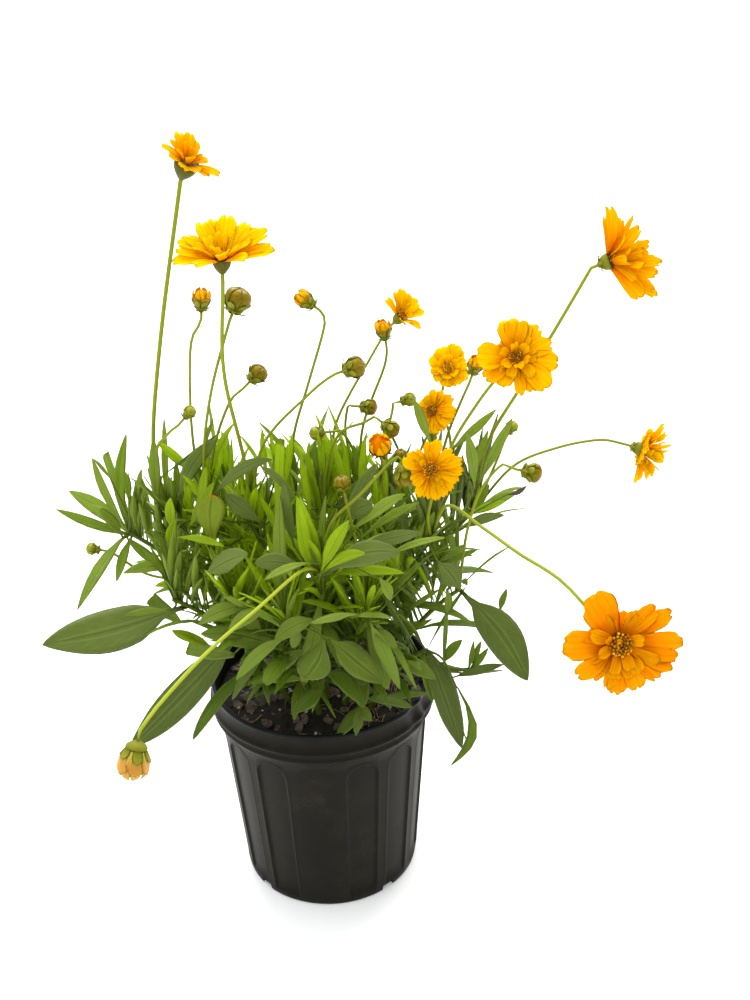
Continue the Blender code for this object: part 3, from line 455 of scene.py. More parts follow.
# The pot: a turned shell with arch-topped flutes, a ridged collar and drain notches
potShape = {
    "height": 0.168,
    "floor": 0.0025,
    "wall": 0.0022,
    "baseRadius": 0.0650,
    "wallTopRadius": 0.0758,
    "collarFoot": 0.138,
    # radius and height of the collar and the rolled lip, from the lip's inner edge down
    "collar": (
        (0.0776, 0.1663), (0.0780, 0.1675), (0.0788, 0.1680), (0.0798, 0.1679),
        (0.0805, 0.1672), (0.0808, 0.1660), (0.0806, 0.1649), (0.0800, 0.1643),
        (0.0798, 0.1620), (0.0800, 0.1590), (0.0806, 0.1565), (0.0815, 0.1545),
        (0.0824, 0.1534), (0.0825, 0.1524), (0.0819, 0.1515), (0.0808, 0.1510),
        (0.0802, 0.1494), (0.0801, 0.1474), (0.0809, 0.1462), (0.0810, 0.1450),
        (0.0804, 0.1440), (0.0792, 0.1434), (0.0782, 0.1412), (0.0770, 0.1392),
        (0.0762, 0.1382),
    ),
    # the same of the inner wall under the lip, and of the foot to its middle
    "lip": ((0.0762, 0.158), (0.0772, 0.1650)),
    "foot": ((0.0650, 0.0030), (0.0647, 0.0012), (0.0638, 0.0002), (0.0625, 0.0), (0.030, 0.0)),
    "flutes": 14,
    "plainAngle": math.radians(-97),
    "fluteShare": 0.72,
    "fluteDepth": 0.0015,
    "fluteSlope": 0.0014,
    "edgeRise": 0.00028,
    "edgeWidth": 0.0007,
    "archTop": 0.134,
    # the height at which the rows begin to follow the arches, and where they do in full
    "archFollow": (0.085, 0.125),
    "footHeight": 0.006,
    "footFade": 0.004,
    "dent": {"angle": math.radians(-33), "spread": 0.16, "depth": 0.00156, "drop": 0.0011,
             "ripples": 26, "fade": 0.020},
    "seam": {"angle": math.radians(-53), "width": 0.0007, "rise": 0.0003, "top": 0.164},
    "warp": 0.00035,
    "drainHoles": 4,
    "drainSize": 0.012,
    "drainDepth": 0.011,
}
# Where the columns stand in half a flute's sector, denser at its edge, and the rows of the
# wall, denser at the top of the arches
fluteCuts = (0.15, 0.30, 0.44, 0.56, 0.64, 0.685, 0.71, 0.73, 0.755, 0.80, 0.88)
archRows = (0.0030, 0.0014, 0.0007, 0.0002, -0.0003, -0.0008, -0.0014, -0.0026, -0.0060)
wallRows = (0.122, 0.115, 0.106, 0.096, 0.085, 0.072, 0.058, 0.044, 0.030, 0.018, 0.010,
            0.0075, 0.0060)


def wallRadius(height):
    share = height / potShape["collarFoot"]
    return potShape["baseRadius"] + (potShape["wallTopRadius"] - potShape["baseRadius"]) * share


# How far an angle is from the middle of its flute, in flutes, and the flute's number
def fluteTurn(angle):
    turn = (angle - potShape["plainAngle"]) / math.tau * potShape["flutes"]
    return turn - round(turn), round(turn) % potShape["flutes"]


# How far a wall point lies inside its flute's edge
def fluteInside(across, height):
    pitch = wallRadius(height) * math.tau / potShape["flutes"]
    half = potShape["fluteShare"] * pitch / 2
    side = abs(across) * pitch
    centre = potShape["archTop"] - half
    return half - (math.hypot(side, height - centre) if height > centre else side)


# How far the arch has dropped at a distance from its middle
def archDrop(across):
    pitch = wallRadius(potShape["archTop"]) * math.tau / potShape["flutes"]
    half = potShape["fluteShare"] * pitch / 2
    side = min(abs(across) * pitch, half)
    return half - math.sqrt(half * half - side * side)


# The radius and height of a point on the outer wall, pressed in within the flutes
def flutedWall(angle, z):
    across, flute = fluteTurn(angle)
    low, high = potShape["archFollow"]
    follow = clampShare((z - low) / (high - low))
    over = z - potShape["archTop"] - 0.001
    if over > 0:
        follow *= 1 - over / (potShape["collarFoot"] - potShape["archTop"])
    z -= archDrop(across) * follow
    if flute == 0:  # the plain panel, which has no flute
        return wallRadius(z), z
    inside = fluteInside(across, z)
    share = clampShare(inside / potShape["fluteSlope"] + 0.25)
    press = potShape["fluteDepth"] * share * share * (3 - 2 * share)
    edge = potShape["edgeRise"] * math.exp(-(inside / potShape["edgeWidth"] + 0.8) ** 2)
    fade = clampShare((z - potShape["footHeight"]) / potShape["footFade"])
    return wallRadius(z) + fade * (edge - press), z


# The same on the collar and the lip, which are dented at one place and have a seam
def dentedCollar(angle, radius, z, isOuter):
    dent, seam = potShape["dent"], potShape["seam"]
    share = min((z - potShape["collarFoot"]) / dent["fade"], 1.0)
    way = angleFrom(dent["angle"], angle)
    hollow = math.exp(-(way / dent["spread"]) ** 2) * (1 - 0.8 * math.cos(way * dent["ripples"]))
    radius -= dent["depth"] * hollow * share
    z -= dent["drop"] * hollow * share
    if isOuter and z < seam["top"]:
        line = angleFrom(seam["angle"], angle) * radius / seam["width"]
        radius += seam["rise"] * math.exp(-line ** 2)
    return radius, z


def shapePotWall(pot):
    sectorAngles = [-1.0, *(-cut for cut in reversed(fluteCuts)), 0.0, *fluteCuts]
    perFlute = len(sectorAngles)
    columns = perFlute * potShape["flutes"]
    collarFoot = potShape["collarFoot"]
    for corner in pot.data.vertices:
        x, y, z = corner.co
        radius = math.hypot(x, y)
        if radius < 0.001:
            continue
        column = round(math.atan2(y, x) / math.tau * columns) % columns
        flutes = column // perFlute + sectorAngles[column % perFlute] / 2
        angle = potShape["plainAngle"] + flutes * math.tau / potShape["flutes"]
        isOuter = radius > wallRadius(z) - potShape["wall"] / 2
        if isOuter and potShape["footHeight"] - 0.0001 < z < collarFoot - 0.0001:
            radius, z = flutedWall(angle, z)
        if z > collarFoot:
            radius, z = dentedCollar(angle, radius, z, isOuter)
        if isOuter:
            warp = 1 + math.sin(3 * angle + 0.6)
            radius -= potShape["warp"] * warp * z / potShape["height"]
        corner.co = (radius * math.cos(angle), radius * math.sin(angle), z)


def cutDrainHoles(pot):
    reach, count = potShape["baseRadius"] - 0.003, potShape["drainHoles"]
    for index in range(count):
        angle = potShape["plainAngle"] + math.pi / 4 + index * math.tau / count
        bpy.ops.mesh.primitive_cylinder_add(
            vertices=24, radius=potShape["drainSize"] / 2, depth=potShape["drainDepth"],
            location=(reach * math.cos(angle), reach * math.sin(angle), 0.0)
        )
        notch = bpy.context.object
        startModelling()
        bpy.context.view_layer.objects.active = pot
        pot.select_set(True)
        cut = pot.modifiers.new("drainHole", "BOOLEAN")
        cut.operation = "DIFFERENCE"
        cut.object = notch
        bpy.ops.object.modifier_apply(modifier=cut.name)
        bpy.data.objects.remove(notch, do_unlink=True)


def makePot(plastic):
    floor, wall = potShape["floor"], potShape["wall"]
    inner = [(wallRadius(height) - wall, height)
             for height in (floor, 0.07, 0.12, potShape["collarFoot"])]
    rows = [potShape["archTop"] + offset for offset in archRows] + list(wallRows)
    outer = [(wallRadius(row), row) for row in rows]
    profile = (*inner, *potShape["lip"], *potShape["collar"], *outer, *potShape["foot"])
    columns = (2 * len(fluteCuts) + 2) * potShape["flutes"]
    pot = turnedShape("nurseryPot", columns, profile)
    shapePotWall(pot)
    cutDrainHoles(pot)
    bpy.ops.object.shade_smooth_by_angle(angle=math.radians(50))
    pot.data.materials.clear()
    pot.data.materials.append(plastic.material)
    return settle(pot, "pot", "pot")


def makePlastic():
    plastic = Finish("satinBlackPlastic", IOR=1.49, Specular_IOR_Level=0.11,
                     Specular_Tint=(1.0, 0.94, 0.80, 1.0))
    place = plastic.place()
    clouds, fine = plastic.grain(38, 5), plastic.grain(420, 3, 0.5)
    dust = clouds.between(0.50, 0.74) * fine.between(0.40, 0.62)
    warm = plastic.blend(clouds.between(0.35, 0.7), "100f0b", "17150f")
    dusty = plastic.blend(dust * 0.35, warm, "37322a")
    cells = {"Scale": 95, "Vector": place}
    near = plastic.node("ShaderNodeTexVoronoi", None, cells)
    chance = plastic.node("ShaderNodeTexVoronoi", None, cells, "Color")
    specks = (near < 0.085) * (plastic.axis("X", chance) > 0.955)
    # The band at the lip's top is painted a bluer black and made glossier
    lip = plastic.axis("Z", place).between(0.1640, 0.1655)
    lipBlueBlack = plastic.blend(lip * 0.8, dusty, "0a1012")
    rough = 0.42 + clouds * 0.10 + dust * 0.16 - lip * 0.12
    plastic.paint(plastic.blend(specks, lipBlueBlack, "b9b5a4"), rough)
    scratch = plastic.streaks(place, (900, 900, 60), 2, 0.6)
    plastic.bump(fine * 0.6 + scratch * 0.4 + specks * 2.0, 0.00012, 0.5)
    return plastic


makePot(makePlastic())
print("pot made")


# The potting mix: a rough mound, with bark, perlite, crumbs and fibres lying on it
mixShape = {
    "top": 0.155,
    "crown": 0.003,
    "sides": 96,
    "rings": 26,
    "rough": 0.0022,
    # scale and share of each size of its lumps
    "lumps": ((70, 0.9), (210, 0.5), (520, 0.35)),
    # how far from the middle the bits lie, and how much narrower than long they may be
    "reach": 0.0725,
    "squash": (0.5, 0.9),
    "bark": {"count": 130, "size": (0.0016, 0.0062), "tilt": 0.5},
    "perlite": {"count": 90, "size": (0.0006, 0.0019), "tilt": 1.5},
    "crumbs": {"count": 520, "size": (0.0005, 0.0019), "tilt": 1.5},
    "fibres": {"count": 60, "length": (0.006, 0.020), "radius": (0.00018, 0.0004)},
}


def mixHeight(x, y):
    share = math.hypot(x, y) / potShape["wallTopRadius"]
    spot = Vector((x, y, 0.0))
    lumps = sum(noise.noise(spot * scale) * part for scale, part in mixShape["lumps"])
    edge = clampShare((1.02 - share) * 8)
    return mixShape["top"] - mixShape["crown"] * share ** 2 + mixShape["rough"] * lumps * edge


def makeMix(mix):
    wall, foot = potShape["wall"], potShape["collarFoot"]
    floor = potShape["floor"] + gap
    base = wallRadius(potShape["floor"]) - wall - gap
    waist = potShape["wallTopRadius"] - wall - gap
    lipRadius, lipHeight = potShape["lip"][0]
    slope = (lipRadius - waist - gap) / (lipHeight - foot)
    rim = mixShape["top"] - mixShape["crown"]
    edge = waist + slope * (rim - foot)
    rings = mixShape["rings"]
    topRings = [(edge * (1 - step / rings), rim) for step in range(rings)]
    profile = ((0.02, floor), (base, floor), (waist, foot), *topRings)
    mound = turnedShape("pottingMix", mixShape["sides"], profile)
    for corner in mound.data.vertices:
        if corner.co.z > rim - 0.0001:
            corner.co.z = mixHeight(corner.co.x, corner.co.y)
    bpy.ops.object.shade_smooth()
    mound.data.materials.append(mix.material)
    return settle(mound, "potting_mix", "soil")


# A rough flake or crumb, modelled from a squat cylinder or ball with uneven corners
def lumpBlank(seed, flat):
    startModelling()
    chance = random.Random(seed)
    if flat:
        bpy.ops.mesh.primitive_cylinder_add(vertices=7, radius=1, depth=0.36)
    else:
        bpy.ops.mesh.primitive_ico_sphere_add(subdivisions=1, radius=1)
    lump = editNew()
    if flat:
        bpy.ops.mesh.select_all(action="DESELECT")
        bpy.ops.mesh.select_mode(type="FACE")
        mesh = bmesh.from_edit_mesh(lump.data)
        for face in mesh.faces:
            face.select = abs(face.normal.z) > 0.9
        bmesh.update_edit_mesh(lump.data)
        bpy.ops.mesh.inset(thickness=0.28, depth=0.07)
    bpy.ops.object.mode_set(mode="OBJECT")
    for corner in lump.data.vertices:
        shift = Vector(chance.uniform(-1, 1) for _ in range(3))
        corner.co += shift * Vector((0.20, 0.20, 0.08 if flat else 0.20))
    return Blank(lump)


def scatterOnMix(bits, kind, finish, blanks, chance):
    tilt, reach = kind["tilt"], mixShape["reach"]
    for _ in range(kind["count"]):
        angle, share = chance.uniform(0, math.tau), math.sqrt(chance.random())
        x, y = reach * share * math.cos(angle), reach * share * math.sin(angle)
        length = chance.uniform(*kind["size"])
        width = length * chance.uniform(*mixShape["squash"])
        scale = Matrix.Diagonal((length, width, length * 0.7, 1))
        turn = Matrix.Rotation(chance.uniform(0, math.tau), 4, "Z")
        lean = Matrix.Rotation(chance.uniform(-tilt, tilt), 4, "X")
        lean = lean @ Matrix.Rotation(chance.uniform(-tilt, tilt), 4, "Y")
        place = Matrix.Translation((x, y, mixHeight(x, y) + length * 0.12)) @ lean @ turn @ scale
        blank = chance.choice(blanks)
        bits.add(blank, placed(blank.points, place), finish, chance.random(), smooth=False)


# A fibre's bent path on the mix; every second one lies near the front rim
def fibrePath(isNearFront, chance):
    angle = chance.uniform(-1.1, 0.1) if isNearFront else chance.uniform(0, math.tau)
    reach = chance.uniform(0.045 if isNearFront else 0.01, 0.066)
    spot = Vector((reach * math.cos(angle), reach * math.sin(angle), 0))
    way = chance.uniform(0, math.tau)
    length = chance.uniform(*mixShape["fibres"]["length"])
    for step in (-0.5, -0.2, 0.15, 0.5):
        x = spot.x + length * step * math.cos(way + step * chance.uniform(-0.6, 0.6))
        y = spot.y + length * step * math.sin(way + step * chance.uniform(-0.6, 0.6))
        inward = min(1.0, mixShape["reach"] / math.hypot(x, y))
        x, y = x * inward, y * inward
        yield x, y, mixHeight(x, y) + chance.uniform(0.0004, 0.0022)


def makeMixBits(bark, perlite, crumb, fibre):
    chance = random.Random(31)
    flakes = [lumpBlank(seed, True) for seed in range(5)]
    balls = [lumpBlank(seed, False) for seed in range(20, 25)]
    straw = tubeBlank(4, 6)
    bits = Bunch("barkAndPerlite")
    scatterOnMix(bits, mixShape["bark"], bark, flakes, chance)
    scatterOnMix(bits, mixShape["perlite"], perlite, balls, chance)
    scatterOnMix(bits, mixShape["crumbs"], crumb, balls, chance)
    for index in range(mixShape["fibres"]["count"]):
        path = smoothPath(list(fibrePath(index % 2, chance)), 3)
        radius = chance.uniform(*mixShape["fibres"]["radius"])
        bits.add(straw, bendTube(straw, path, (radius, radius)), fibre, chance.random())
    bits.piece("potting_mix")


def makeMixFinish(name, dark, light, rough, grainScale, relief):
    mix = Finish(name)
    coarse = mix.grain(grainScale, 6, 0.65)
    share = (coarse.between(0.3, 0.7) * 0.6 + mix.tone() * 0.5).clamped()
    mix.paint(mix.blend(share, dark, light), rough + coarse * 0.1)
    mix.bump(coarse, relief)
    return mix


bark = makeMixFinish("greyBrownBark", "2a2019", "7d6b5c", 0.75, 320, 0.0003)
perlite = makeMixFinish("palePerlite", "a9a498", "e6e2d8", 0.8, 900, 0.0002)
crumb = makeMixFinish("darkCompost", "0f0b08", "3a2a1e", 0.85, 500, 0.0004)
fibre = makeMixFinish("strawFibre", "4a3a22", "b39a6a", 0.7, 600, 0.0001)
makeMix(makeMixFinish("pottingMixSurface", "0c0906", "33241a", 0.88, 260, 0.0006))
makeMixBits(bark, perlite, crumb, fibre)
print("potting mix made")


# The camera, which stands where the photo was taken from
stage = {
    "floorSize": 40.0,
    "place": (0.0, -0.8376, 0.7537),
    "down": 28.19,
    "turn": 2.93,
    "roll": -2.03,
    "focus": 1394,
    "frameWidth": 750,
    "frameHeight": 1000,
    "sensor": 36,
}


def viewAxes():
    down, turn, roll = (math.radians(stage[key]) for key in ("down", "turn", "roll"))
    level = Vector((math.sin(turn), math.cos(turn), 0))
    ahead = level * math.cos(down) - Vector((0, 0, math.sin(down)))
    right = Vector((math.cos(turn), -math.sin(turn), 0))
    up = right.cross(ahead)
    across = right * math.cos(roll) + up * math.sin(roll)
    return across, up * math.cos(roll) - right * math.sin(roll), ahead


across, above, ahead = viewAxes()


# Whether the camera sees a point inside an outline in its picture
def isSeenInside(point, outline):
    way = Vector(point) - Vector(stage["place"])
    scale = stage["focus"] / way.dot(ahead)
    x = stage["frameWidth"] / 2 + way.dot(across) * scale
    y = stage["frameHeight"] / 2 - way.dot(above) * scale
    isInside = False
    for (ax, ay), (bx, by) in zip(outline, outline[1:] + outline[:1]):
        if (ay > y) != (by > y) and x < ax + (y - ay) * (bx - ax) / (by - ay):
            isInside = not isInside
    return isInside


# Stems: where each leaves the mix, its top, its leaf pairs and how far its leaves spread
stemShape = {"radius": 0.0021, "steps": 4, "taper": 0.4, "rise": 0.65, "depth": 0.0137}
stalkShape = {"radius": 0.0011, "neck": 0.006, "sink": 0.0015}
stems = {
    "stem_far_left": ((-0.034, 0.012), (-0.127, 0.008, 0.286), 3, 0.7),
    "stem_left_tall": ((-0.026, 0.000), (-0.098, 0.000, 0.300), 4, 0.5),
    "stem_left_front": ((-0.026, -0.016), (-0.096, -0.044, 0.262), 2, 0.8),
    "stem_front_left": ((-0.012, -0.026), (-0.054, -0.060, 0.258), 2, 0.8),
    "stem_left_mid": ((-0.019, 0.010), (-0.070, -0.008, 0.304), 4, 0.4),
    "stem_left_inner": ((-0.010, -0.006), (-0.042, -0.018, 0.302), 4, 0.4),
    "stem_mid_left": ((-0.008, 0.018), (-0.014, 0.026, 0.302), 4, 0.3),
    "stem_mid": ((0.003, 0.004), (0.008, 0.002, 0.302), 4, 0.3),
    "stem_mid_back": ((0.009, 0.028), (0.022, 0.058, 0.294), 4, 0.5),
    "stem_mid_right": ((0.015, 0.014), (0.034, 0.030, 0.298), 4, 0.3),
    "stem_right_inner": ((0.018, -0.004), (0.052, -0.006, 0.300), 4, 0.3),
    "stem_right_mid": ((0.028, 0.012), (0.084, 0.014, 0.298), 4, 0.4),
    "stem_right_front": ((0.027, -0.014), (0.078, -0.034, 0.290), 4, 0.5),
    "stem_far_right": ((0.038, 0.004), (0.112, 0.004, 0.290), 4, 0.6),
    "stem_right_low": ((0.038, -0.018), (0.096, -0.038, 0.252), 3, 0.8),
    "stem_rim_right": ((0.033, -0.032), (0.072, -0.052, 0.214), 2, 0.9),
    "stem_front": ((0.002, -0.018), (0.004, -0.062, 0.284), 3, 0.5),
    "stem_front_right": ((0.015, -0.026), (0.032, -0.066, 0.256), 3, 0.7),
    "stem_front_near": ((-0.004, -0.036), (-0.022, -0.080, 0.262), 3, 0.8),
    "stem_back_left": ((-0.020, 0.032), (-0.066, 0.072, 0.286), 5, 0.7),
    "stem_back": ((0.003, 0.040), (0.000, 0.098, 0.282), 5, 0.7),
    "stem_back_right": ((0.026, 0.034), (0.074, 0.074, 0.284), 5, 0.7),
}

# Leaves listed one by one: stem, share up it, tip, rise of the arch, width and roll
loneLeaves = (
    ("stem_left_front", 0.90, (-0.183, -0.060, 0.243), 0.012, 0.029, -55),
    ("stem_front_left", 0.86, (-0.131, -0.088, 0.176), 0.014, 0.026, -45),
    ("stem_front_left", 0.40, (-0.089, -0.088, 0.178), 0.014, 0.011, 0),
    ("stem_far_left", 1.00, (-0.160, -0.045, 0.258), 0.008, 0.012, -10),
    ("stem_far_left", 0.98, (-0.135, -0.024, 0.266), 0.005, 0.007, 20),
    ("stem_far_left", 0.96, (-0.173, 0.000, 0.312), 0.004, 0.009, 10),
    ("stem_far_left", 0.98, (-0.168, 0.030, 0.310), 0.004, 0.012, -25),
    ("stem_far_left", 1.00, (-0.147, 0.020, 0.340), 0.002, 0.008, 0),
    ("stem_far_left", 1.00, (-0.123, 0.030, 0.352), 0.003, 0.010, 10),
    ("stem_far_left", 0.97, (-0.141, 0.045, 0.330), 0.002, 0.008, 0),
    ("stem_left_tall", 1.00, (-0.106, 0.010, 0.357), 0.001, 0.008, 0),
    ("stem_right_low", 1.00, (0.137, -0.080, 0.203), 0.014, 0.025, 45),
    ("stem_right_low", 0.97, (0.098, -0.066, 0.272), 0.006, 0.015, 0),
    ("stem_rim_right", 1.00, (0.092, -0.084, 0.153), 0.010, 0.023, -10),
    ("stem_rim_right", 0.70, (0.100, -0.062, 0.136), 0.016, 0.010, 20),
    ("stem_rim_right", 0.90, (0.130, -0.030, 0.178), 0.004, 0.008, 0),
    ("stem_front_near", 0.88, (-0.060, -0.092, 0.212), 0.006, 0.012, 10),
    ("stem_front", 0.80, (-0.013, -0.090, 0.218), 0.006, 0.020, 0),
    ("stem_front_right", 0.90, (0.042, -0.092, 0.212), 0.006, 0.019, 0),
    ("stem_front_right", 0.95, (0.054, -0.088, 0.204), 0.006, 0.009, 10),
    ("stem_rim_right", 0.94, (0.070, -0.078, 0.196), 0.004, 0.010, 0),
    ("stem_front_right", 0.55, (0.025, -0.086, 0.194), 0.004, 0.012, 0),
    ("stem_front_near", 0.35, (-0.021, -0.082, 0.184), 0.004, 0.009, 0),
    ("stem_front_near", 0.55, (-0.050, -0.068, 0.202), 0.004, 0.009, 0),
    ("stem_front", 1.00, (0.056, -0.084, 0.302), 0.004, 0.013, 35),
    ("stem_front_left", 1.00, (-0.042, -0.086, 0.308), 0.004, 0.016, 20),
    ("stem_front", 1.00, (0.000, -0.080, 0.340), 0.001, 0.010, 0),
    ("stem_front", 0.98, (0.026, -0.074, 0.332), 0.001, 0.007, 0),
    ("stem_front_near", 1.00, (-0.020, -0.064, 0.346), 0.002, 0.009, 0),
    ("stem_far_right", 1.00, (0.129, 0.010, 0.362), 0.002, 0.008, 0),
    ("stem_far_right", 0.98, (0.139, -0.004, 0.326), 0.003, 0.008, 0),
    ("stem_right_mid", 1.00, (0.082, 0.022, 0.366), 0.001, 0.007, 0),
)

